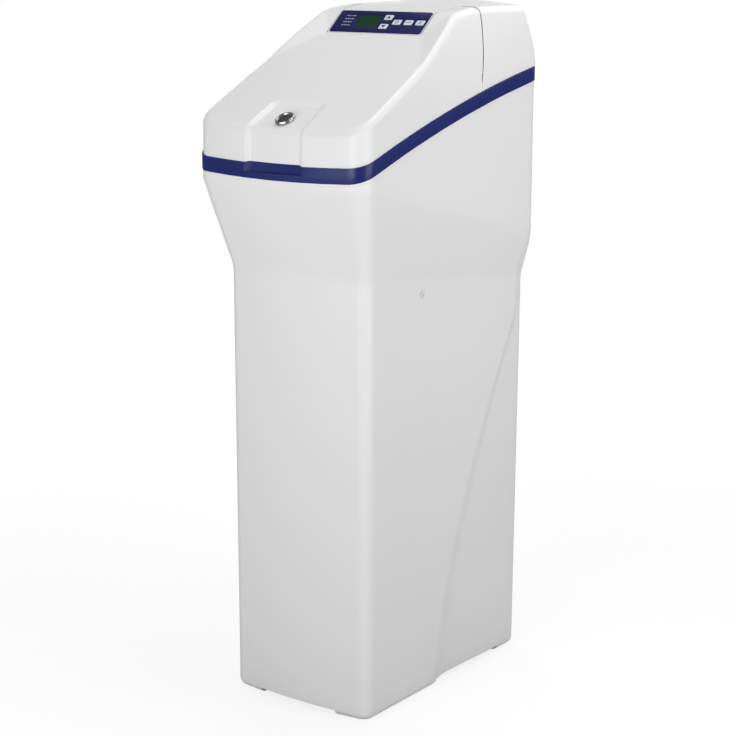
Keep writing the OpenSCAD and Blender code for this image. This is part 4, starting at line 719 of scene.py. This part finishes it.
def rear_cover_skin(s, shell):
    """Rear cover: the shell behind the seam and the tongue, with the facia's recess and window."""
    cover = copy_of(shell, "rear_cover_skin")
    gap = s.seam_gap / 2
    keep = behind_seam(s, gap + s.seam_room)
    cut(keep, "UNION", tongue(s, -gap))
    cut(cover, "INTERSECT", keep)
    cut(cover, "DIFFERENCE",
        hinge_bars(s, "knuckle_room", s.knuckle_x - s.seam_gap, 300, s.knuckle_r + s.seam_gap),
        joined("cheek_room", side_boxes(s, s.knuckle_x - gap, 300, (s.hinge_y - 90, s.hinge_z),
                                        (s.hinge_y + s.knuckle_r + s.seam_gap, s.hinge_z + 60))),
        panel_plate(s, "facia_recess", 0, 0, s.facia_w + 0.6, s.facia_h + 0.6, 4, -1, 20),
        panel_plate(s, "facia_window", 0, 0, s.facia_w - 26, s.facia_h - 13, 3, -8, 20),
        panel_plate(s, "key_window", 77.2, 0, 20, 15, 3, -8, 20))
    brackets = hinge_bars(s, "hinge_brackets", s.knuckle_x - s.seam_gap - s.bracket_w, s.knuckle_x - s.seam_gap,
                          s.knuckle_r - 1, ((-s.knuckle_r + 1, 0), (s.knuckle_r - 1, s.panel_top_z + 5 - s.hinge_z)))
    cut(cover, "DIFFERENCE", *along_seam(s, "undercut", -8, ((gap + 0.4, 0.4), (gap + 0.4, 6), (gap + 10, 6))))
    cover = joined("rear_cover_skin", [cover, brackets])
    soften(cover, 28)
    return cover


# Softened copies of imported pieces, and the marks on the facia

def softened(node, bevel_mm, angle=30):
    """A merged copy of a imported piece, with smooth rounds and a small break on its sharp edges."""
    obj = copy_of(NODES[node], node + "_finished")
    bm = bmesh.new()
    bm.from_mesh(obj.data)
    bmesh.ops.remove_doubles(bm, verts=bm.verts, dist=2e-6)
    bmesh.ops.dissolve_limit(bm, angle_limit=math.radians(1), verts=bm.verts, edges=bm.edges)
    bm.to_mesh(obj.data)
    bm.free()
    mod = obj.modifiers.new("edge_break", "BEVEL")
    mod.width = bevel_mm / 1000
    mod.segments = 3
    mod.limit_method = "ANGLE"
    mod.angle_limit = math.radians(angle)
    mod.use_clamp_overlap = True
    bake(obj)
    soften(obj, angle)
    return obj


def on_panel(s, points):
    """Points across, along and out of the panel, measured from the facia's middle."""
    p = np.array(points, dtype=float) + [0, s.panel_l / 2, 0]
    return on_slope(s, s.panel_low_y, s.panel_angle, float(s.deck_z(s.panel_low_y)), p)


def printed(s, name, place, polygons, z):
    """Flat printed shapes on the panel, around a place on it."""
    points, faces = [], []
    for polygon in polygons:
        faces.append(tuple(range(len(points), len(points) + len(polygon))))
        points += [(place[0] + x, place[1] + v, z) for x, v in polygon]
    return mesh_object(name, on_panel(s, points), faces)


def bar(x, v, w, h):
    """A printed bar around a place."""
    return [(x - w / 2, v - h / 2), (x + w / 2, v - h / 2), (x + w / 2, v + h / 2), (x - w / 2, v + h / 2)]


def ring_mark(r, t, n=20):
    """A thin ring drawn as quads."""
    a = np.linspace(0, 2 * math.pi, n + 1)
    return [[(r * math.cos(p), r * math.sin(p)), (r * math.cos(q), r * math.sin(q)),
             ((r - t) * math.cos(q), (r - t) * math.sin(q)), ((r - t) * math.cos(p), (r - t) * math.sin(p))]
            for p, q in zip(a[:-1], a[1:])]


def dash_rows(s, material):
    """Rows of printed dashes beside the display, from a Geometry Nodes tree with a fixed seed."""
    tree = bpy.data.node_groups.new("facia_dash_rows", "GeometryNodeTree")
    tree.interface.new_socket("Geometry", in_out="OUTPUT", socket_type="NodeSocketGeometry")
    sockets = {}
    for name, kind, value in (("Rows", "NodeSocketInt", 4), ("Dashes", "NodeSocketInt", 4),
                              ("Row pitch", "NodeSocketFloat", 7.2), ("Dash pitch", "NodeSocketFloat", 4.6),
                              ("Dash height", "NodeSocketFloat", 1.5), ("Seed", "NodeSocketInt", 5)):
        socket = tree.interface.new_socket(name, in_out="INPUT", socket_type=kind)
        socket.default_value = value
        sockets[name] = (socket.identifier, value)
    given = add(tree, "NodeGroupInput").outputs

    spans = []
    for count, pitch in (("Dashes", "Dash pitch"), ("Rows", "Row pitch")):
        gaps = add(tree, "ShaderNodeMath", {"operation": "SUBTRACT"}, {0: given[count]})
        gaps.inputs[1].default_value = 1
        span = add(tree, "ShaderNodeMath", {"operation": "MULTIPLY"}, {0: gaps.outputs[0], 1: given[pitch]})
        spans.append(span.outputs[0])
    field = add(tree, "GeometryNodeMeshGrid", links={"Vertices X": given["Dashes"], "Vertices Y": given["Rows"],
                                                     "Size X": spans[0], "Size Y": spans[1]})
    dash = add(tree, "GeometryNodeMeshGrid", Vertices_X=2, Vertices_Y=2, Size_X=1.0, Size_Y=1.0)
    long = add(tree, "FunctionNodeRandomValue", {"data_type": "FLOAT"}, {"Seed": given["Seed"]})
    long.inputs[2].default_value = 1.8
    long.inputs[3].default_value = 4.2
    shape = add(tree, "ShaderNodeCombineXYZ", links={"X": long.outputs[1], "Y": given["Dash height"]}, Z=1.0)
    put = add(tree, "GeometryNodeInstanceOnPoints", links={
        "Points": field.outputs["Mesh"], "Instance": dash.outputs["Mesh"], "Scale": shape.outputs["Vector"]})
    real = add(tree, "GeometryNodeRealizeInstances", links={"Geometry": put.outputs["Instances"]})
    ink = add(tree, "GeometryNodeSetMaterial", links={"Geometry": real.outputs["Geometry"]}, Material=material)
    add(tree, "NodeGroupOutput", links={"Geometry": ink.outputs["Geometry"]})
    obj = mesh_object("facia_dashes", [], [])
    mod = obj.modifiers.new("dash_rows", "NODES")
    mod.node_group = tree
    for identifier, value in sockets.values():
        mod[identifier] = value
    bake(obj)
    # The rows' middle lies left of the display, just proud of the film
    flat = np.array([v.co for v in obj.data.vertices]) + [-64, 1.6, 0.54]
    for v, place in zip(obj.data.vertices, on_panel(s, flat)):
        v.co = place
    return obj


# Finishes

def add(tree, kind, settings=None, links=None, **values):
    """Add a node with its settings, its input values and its links from other sockets."""
    node = tree.nodes.new(kind)
    for key, value in (settings or {}).items():
        setattr(node, key, value)
    for key, value in values.items():
        node.inputs[key.replace("_", " ")].default_value = value
    for key, socket in (links or {}).items():
        tree.links.new(socket, node.inputs[key])
    return node


def new_material(name):
    """An empty node material and its tree."""
    material = bpy.data.materials.new(name)
    material.use_nodes = True
    material.node_tree.nodes.clear()
    return material, material.node_tree


def per_mm(size):
    """Texture scale, in cells per metre, for a feature of that size in millimetres."""
    return 1000.0 / size


def moulded(name, base, grain_mm, roughness, bump, tint=0.03, coat=0.0, shine=0.5, clouds_mm=90):
    """Moulded plastic: a faint cloud in the colour, a fine tool grain in the bump and an uneven gloss."""
    material, tree = new_material(name)
    where = add(tree, "ShaderNodeTexCoord").outputs["Object"]
    cloud = add(tree, "ShaderNodeTexNoise", links={"Vector": where}, Scale=per_mm(clouds_mm), Detail=3.0)
    light = tuple(min(1, c * (1 + tint)) for c in base)
    deep = tuple(c * (1 - tint) for c in base)
    shade = add(tree, "ShaderNodeMix", {"data_type": "RGBA"}, {0: cloud.outputs["Fac"]})
    shade.inputs[6].default_value = (*deep, 1)
    shade.inputs[7].default_value = (*light, 1)
    grain = add(tree, "ShaderNodeTexNoise", links={"Vector": where},
                Scale=per_mm(grain_mm), Detail=4.0, Roughness=0.6)
    gloss = add(tree, "ShaderNodeMapRange", links={"Value": grain.outputs["Fac"]},
                To_Min=roughness - 0.05, To_Max=roughness + 0.05)
    relief = add(tree, "ShaderNodeBump", links={"Height": grain.outputs["Fac"]}, Strength=bump, Distance=0.0002)
    shader = add(tree, "ShaderNodeBsdfPrincipled", links={
        "Base Color": shade.outputs[2], "Roughness": gloss.outputs["Result"], "Normal": relief.outputs["Normal"]},
        Specular_IOR_Level=shine, Coat_Weight=coat, Coat_Roughness=0.08)
    add(tree, "ShaderNodeOutputMaterial", links={"Surface": shader.outputs["BSDF"]})
    return material


def metal(name, base, roughness, grain_mm, stretch, bump):
    """Plated or brushed metal: gloss that wanders along the way it was worked."""
    material, tree = new_material(name)
    where = add(tree, "ShaderNodeTexCoord").outputs["Object"]
    along = add(tree, "ShaderNodeMapping", links={"Vector": where}, Scale=stretch)
    grain = add(tree, "ShaderNodeTexNoise", links={"Vector": along.outputs["Vector"]},
                Scale=per_mm(grain_mm), Detail=3.0)
    gloss = add(tree, "ShaderNodeMapRange", links={"Value": grain.outputs["Fac"]},
                To_Min=max(0.02, roughness - 0.06), To_Max=roughness + 0.08)
    relief = add(tree, "ShaderNodeBump", links={"Height": grain.outputs["Fac"]}, Strength=bump, Distance=0.0001)
    shader = add(tree, "ShaderNodeBsdfPrincipled", links={"Roughness": gloss.outputs["Result"],
                                                         "Normal": relief.outputs["Normal"]},
                 Base_Color=(*base, 1), Metallic=1.0)
    add(tree, "ShaderNodeOutputMaterial", links={"Surface": shader.outputs["BSDF"]})
    return material


def finishes(colours):
    """Every finish of the softener, by the record's slot."""
    c = colours
    return {
        # Blow-moulded polyethylene: an even satin white with a faint orange peel, coarser than real so that it shows
        "white_moulding": moulded("polyethylene_blow_moulded", c.white, 1.6, 0.44, 0.05, tint=0.012, clouds_mm=220),
        # Injection-moulded ABS collar: deep navy with a fine spark grain
        "navy_moulding": moulded("abs_injection_moulded_navy", c.navy, 0.9, 0.30, 0.08, tint=0.05, shine=0.25),
        # Screen-printed polycarbonate film: smooth, with a soft clear face
        "facia_film": moulded("polycarbonate_film_navy", c.facia, 0.7, 0.34, 0.05, tint=0.04, shine=0.2),
        # Clear acrylic over a green liquid-crystal cell: dark, glossy, cool
        "display_glass": moulded("acrylic_display_window", c.display, 3.0, 0.14, 0.01, tint=0.10, shine=0.2,
                                 clouds_mm=26),
        # Moulded key caps with a satin face
        "key_plastic": moulded("abs_key_cap", c.key, 0.6, 0.40, 0.08, tint=0.02),
        # Chromed zinc die casting: bright, with a slight haze
        "chrome": metal("zinc_die_cast_chromed", linear("#AEB0B4"), 0.2, 2.5, (1, 1, 1), 0.02),
        # Zinc-plated steel: grey with a drawn grain
        "steel": metal("steel_zinc_plated", linear("#B4B6B8"), 0.34, 0.8, (1, 1, 0.15), 0.06),
        # Glass-filled nylon: nearly black with a dry mottle
        "dark_plastic": moulded("nylon_glass_filled", c.dark, 0.8, 0.52, 0.18, tint=0.16, clouds_mm=14),
        # Solder mask over copper: dark green with a wet gloss
        "board_green": moulded("circuit_board_solder_mask", c.board, 1.2, 0.30, 0.06, tint=0.12, coat=0.3,
                               clouds_mm=6),
        # Wound glass fibre in resin: mottled blue under a clear skin
        "vessel_blue": moulded("glass_fibre_filament_wound", c.vessel, 2.4, 0.34, 0.25, tint=0.10, coat=0.25,
                               clouds_mm=10),
        # Packed polystyrene beads: amber and grainy
        "resin_amber": moulded("ion_exchange_beads_packed", c.resin, 0.9, 0.40, 0.6, tint=0.25, clouds_mm=1.4),
        # Moulded nitrile seal: black and matte
        "seal_rubber": moulded("nitrile_rubber_moulded", linear("#121212"), 0.6, 0.62, 0.12, tint=0.10),
        # Natural acetal and polypropylene fittings: milky white
        "natural_plastic": moulded("polypropylene_natural", c.natural, 0.9, 0.42, 0.08, tint=0.04, clouds_mm=24),
        # Foamed polystyrene float: orange with closed cells
        "float_orange": moulded("polystyrene_foam_float", c.float_orange, 1.8, 0.58, 0.30, tint=0.10, clouds_mm=4),
    }


# Operators

class SOFTENER_OT_finishes(bpy.types.Operator):
    """Make the finishes and put them on every CAD piece."""

    bl_idname = "softener.finishes"
    bl_label = "Finishes on all pieces"

    def execute(self, context):
        FINISH.update(finishes(context.scene.softener_colours))
        for row in frame["record"]["subparts"]:
            obj = NODES[row["node"]]
            obj.data.materials.clear()
            obj.data.materials.append(FINISH[row["material_slot"]])
        return {"FINISHED"}


class SOFTENER_OT_cabinet(bpy.types.Operator):
    """Build the flared cabinet's smooth skin and its side plugs."""

    bl_idname = "softener.cabinet"
    bl_label = "Cabinet and plugs"

    def execute(self, context):
        s = Sizes(context.scene)
        finish_piece(cabinet_skin(s), "softener", "white_moulding", "cabinet")
        finish_piece(plug_heads(s), "softener", "white_moulding", "side_plugs")
        return {"FINISHED"}


class SOFTENER_OT_hood(bpy.types.Operator):
    """Build the salt lid and the rear cover from one rounded hood."""

    bl_idname = "softener.hood"
    bl_label = "Lid and rear cover"

    def execute(self, context):
        s = Sizes(context.scene)
        shell = hood_shell(s)
        lid = lid_skin(s, shell)
        cover = rear_cover_skin(s, shell)
        bpy.data.objects.remove(shell)
        finish_piece(lid, "lid", "white_moulding", "salt_lid")
        finish_piece(cover, "softener", "white_moulding", "rear_cover")
        return {"FINISHED"}


class SOFTENER_OT_collar(bpy.types.Operator):
    """Soften the navy collar's edges."""

    bl_idname = "softener.collar"
    bl_label = "Collar"

    def execute(self, context):
        finish_piece(softened("collar", 0.7), "softener", "navy_moulding", "collar")
        return {"FINISHED"}


class SOFTENER_OT_lock(bpy.types.Operator):
    """Soften the lock's ring and its barrel."""

    bl_idname = "softener.lock"
    bl_label = "Lid lock"

    def execute(self, context):
        finish_piece(softened("lock_bezel", 0.5), "lid", "chrome", "lock_bezel")
        finish_piece(softened("lock_barrel", 0.3), "lock", "dark_plastic", "lock_barrel")
        return {"FINISHED"}


class SOFTENER_OT_facia(bpy.types.Operator):
    """Soften the facia and its keys, and print their marks."""

    bl_idname = "softener.facia"
    bl_label = "Facia, keys and marks"

    def execute(self, context):
        s = Sizes(context.scene)
        c = context.scene.softener_colours
        # Screen-printed ink: pale and matte on the film, navy on the keys
        pale = moulded("screen_print_pale", c.marks, 0.5, 0.55, 0.05, tint=0.08, clouds_mm=3)
        deep = moulded("pad_print_navy", c.key_mark, 0.5, 0.55, 0.05, tint=0.08, clouds_mm=3)
        finish_piece(softened("control_panel", 0.3), "softener", "facia_film", "control_panel")
        finish_piece(dash_rows(s, pale), "softener", "facia_film", ink=pale)
        w = s.facia_w
        places = {"up": (0.0646 * w, 0.208 * s.facia_h), "down": (0.0646 * w, -0.208 * s.facia_h),
                  "left": (0.1831 * w, 0), "middle": (0.3084 * w, 0), "right": (0.4337 * w, 0)}
        marks = {"up": [[(-4.6, -2.6), (4.6, -2.6), (0, 3.2)]], "down": [[(4.6, 2.6), (-4.6, 2.6), (0, -3.2)]],
                 "left": ring_mark(3.4, 0.9) + [bar(0.9, 0, 2.0, 0.8), bar(0, 0.9, 0.8, 2.2)],
                 "middle": [bar(-3.6, 0, 3.4, 1.6), bar(0.6, 0, 3.4, 1.6), bar(4.2, 0, 2.0, 1.6)],
                 "right": [bar(0, v, 6.5, 1.0) for v in (-2.2, 0, 2.2)]}
        for key in KEYS:
            body = key + "_key"
            finish_piece(softened("key_" + key, 0.4), body, "key_plastic", "key_" + key)
            mark = printed(s, "key_" + key + "_mark", places[key], marks[key], 1.33)
            finish_piece(mark, body, "key_plastic", ink=deep)
        return {"FINISHED"}


class SOFTENER_OT_stage(bpy.types.Operator):
    """Lay the floor, hang the lights and set the camera."""

    bl_idname = "softener.stage"
    bl_label = "Studio"

    def execute(self, context):
        scene = context.scene
        scene.view_settings.view_transform = "Standard"
        reach, low = 60, -0.0005
        floor = mesh_object("studio_floor", [(-reach, -reach, low), (reach, -reach, low), (reach, reach, low),
                                             (-reach, reach, low)], [(0, 1, 2, 3)])
        material, tree = new_material("seamless_paper_white")
        # Seamless background paper: matte white that keeps a soft shadow
        paper = add(tree, "ShaderNodeBsdfDiffuse", Color=(*scene.softener_colours.floor, 1))
        glow = add(tree, "ShaderNodeEmission", Strength=1.0)
        seen = add(tree, "ShaderNodeLightPath").outputs["Is Camera Ray"]
        where = add(tree, "ShaderNodeTexCoord").outputs["Object"]
        far = add(tree, "ShaderNodeVectorMath", {"operation": "LENGTH"}, {0: where})
        fade = add(tree, "ShaderNodeMapRange", {"interpolation_type": "SMOOTHSTEP"}, {"Value": far.outputs["Value"]},
                   From_Min=0.4, From_Max=1.6, To_Min=0.8, To_Max=1.0)
        share = add(tree, "ShaderNodeMath", {"operation": "MULTIPLY"}, {0: seen, 1: fade.outputs["Result"]})
        mix = add(tree, "ShaderNodeMixShader", links={0: share.outputs[0], 1: paper.outputs[0], 2: glow.outputs[0]})
        dull = add(tree, "ShaderNodeBsdfDiffuse", Color=(0.55, 0.55, 0.55, 1))
        pick = add(tree, "ShaderNodeMixShader", links={0: seen, 1: dull.outputs[0], 2: mix.outputs[0]})
        add(tree, "ShaderNodeOutputMaterial", links={"Surface": pick.outputs[0]})
        floor.data.materials.append(material)

        world = scene.world or bpy.data.worlds.new("studio")
        scene.world = world
        world.use_nodes = True
        tree = world.node_tree
        tree.nodes.clear()
        path = add(tree, "ShaderNodeLightPath")
        clear = add(tree, "ShaderNodeMath", {"operation": "MAXIMUM"},
                    {0: path.outputs["Is Camera Ray"], 1: path.outputs["Is Transmission Ray"]})
        room = add(tree, "ShaderNodeBackground", Color=(1, 1, 1, 1), Strength=0.24)
        white = add(tree, "ShaderNodeBackground", Color=(1, 1, 1, 1), Strength=1.0)
        mix = add(tree, "ShaderNodeMixShader", links={0: clear.outputs[0], 1: room.outputs[0], 2: white.outputs[0]})
        add(tree, "ShaderNodeOutputWorld", links={"Surface": mix.outputs[0]})

        for name, place, target, size, watts in LAMPS:
            lamp = bpy.data.lights.new(name, "AREA")
            lamp.shape = "SQUARE"
            lamp.size = size
            lamp.energy = watts
            obj = bpy.data.objects.new(name, lamp)
            obj.location = place
            obj.visible_camera = False
            obj.rotation_euler = (Vector(target) - Vector(place)).to_track_quat("-Z", "Y").to_euler()
            scene.collection.objects.link(obj)

        lens = bpy.data.cameras.new("product_camera")
        lens.lens = 90
        lens.sensor_width = 36
        lens.sensor_fit = "HORIZONTAL"
        camera = bpy.data.objects.new("product_camera", lens)
        camera.location = Sizes(scene).metres(CAMERA_PLACE)
        camera.rotation_euler = Euler((math.radians(90 - CAMERA_DOWN), 0, math.radians(CAMERA_LEFT)))
        scene.collection.objects.link(camera)
        scene.camera = camera
        return {"FINISHED"}


class SOFTENER_PT_panel(bpy.types.Panel):
    """Sizes, colours and steps of the softener."""

    bl_idname = "SOFTENER_PT_panel"
    bl_label = "Water softener"
    bl_space_type = "VIEW_3D"
    bl_region_type = "UI"
    bl_category = "Softener"

    def draw(self, context):
        scene = context.scene
        for group in (getattr(scene, name) for name in GROUPS):
            column = self.layout.box().column()
            for key in group.__annotations__:
                column.prop(group, key)
        for step in STEPS:
            self.layout.operator(step.bl_idname)


STEPS = (SOFTENER_OT_stage, SOFTENER_OT_finishes, SOFTENER_OT_cabinet, SOFTENER_OT_hood, SOFTENER_OT_collar,
         SOFTENER_OT_lock, SOFTENER_OT_facia)
GROUPS = {"softener_cabinet": SoftenerCabinetSizes, "softener_hood": SoftenerHoodSizes,
          "softener_colours": SoftenerColours}
CLASSES = (*GROUPS.values(), *STEPS, SOFTENER_PT_panel)


def register():
    for cls in CLASSES:
        bpy.utils.register_class(cls)
    for name, cls in GROUPS.items():
        setattr(bpy.types.Scene, name, PointerProperty(type=cls))


def unregister():
    for name in GROUPS:
        delattr(bpy.types.Scene, name)
    for cls in reversed(CLASSES):
        bpy.utils.unregister_class(cls)


def main():
    register()
    bpy.ops.softener.stage()
    bpy.ops.softener.finishes()
    bpy.ops.softener.cabinet()
    bpy.ops.softener.hood()
    bpy.ops.softener.collar()
    bpy.ops.softener.lock()
    bpy.ops.softener.facia()


if __name__ == "__main__":
    main()
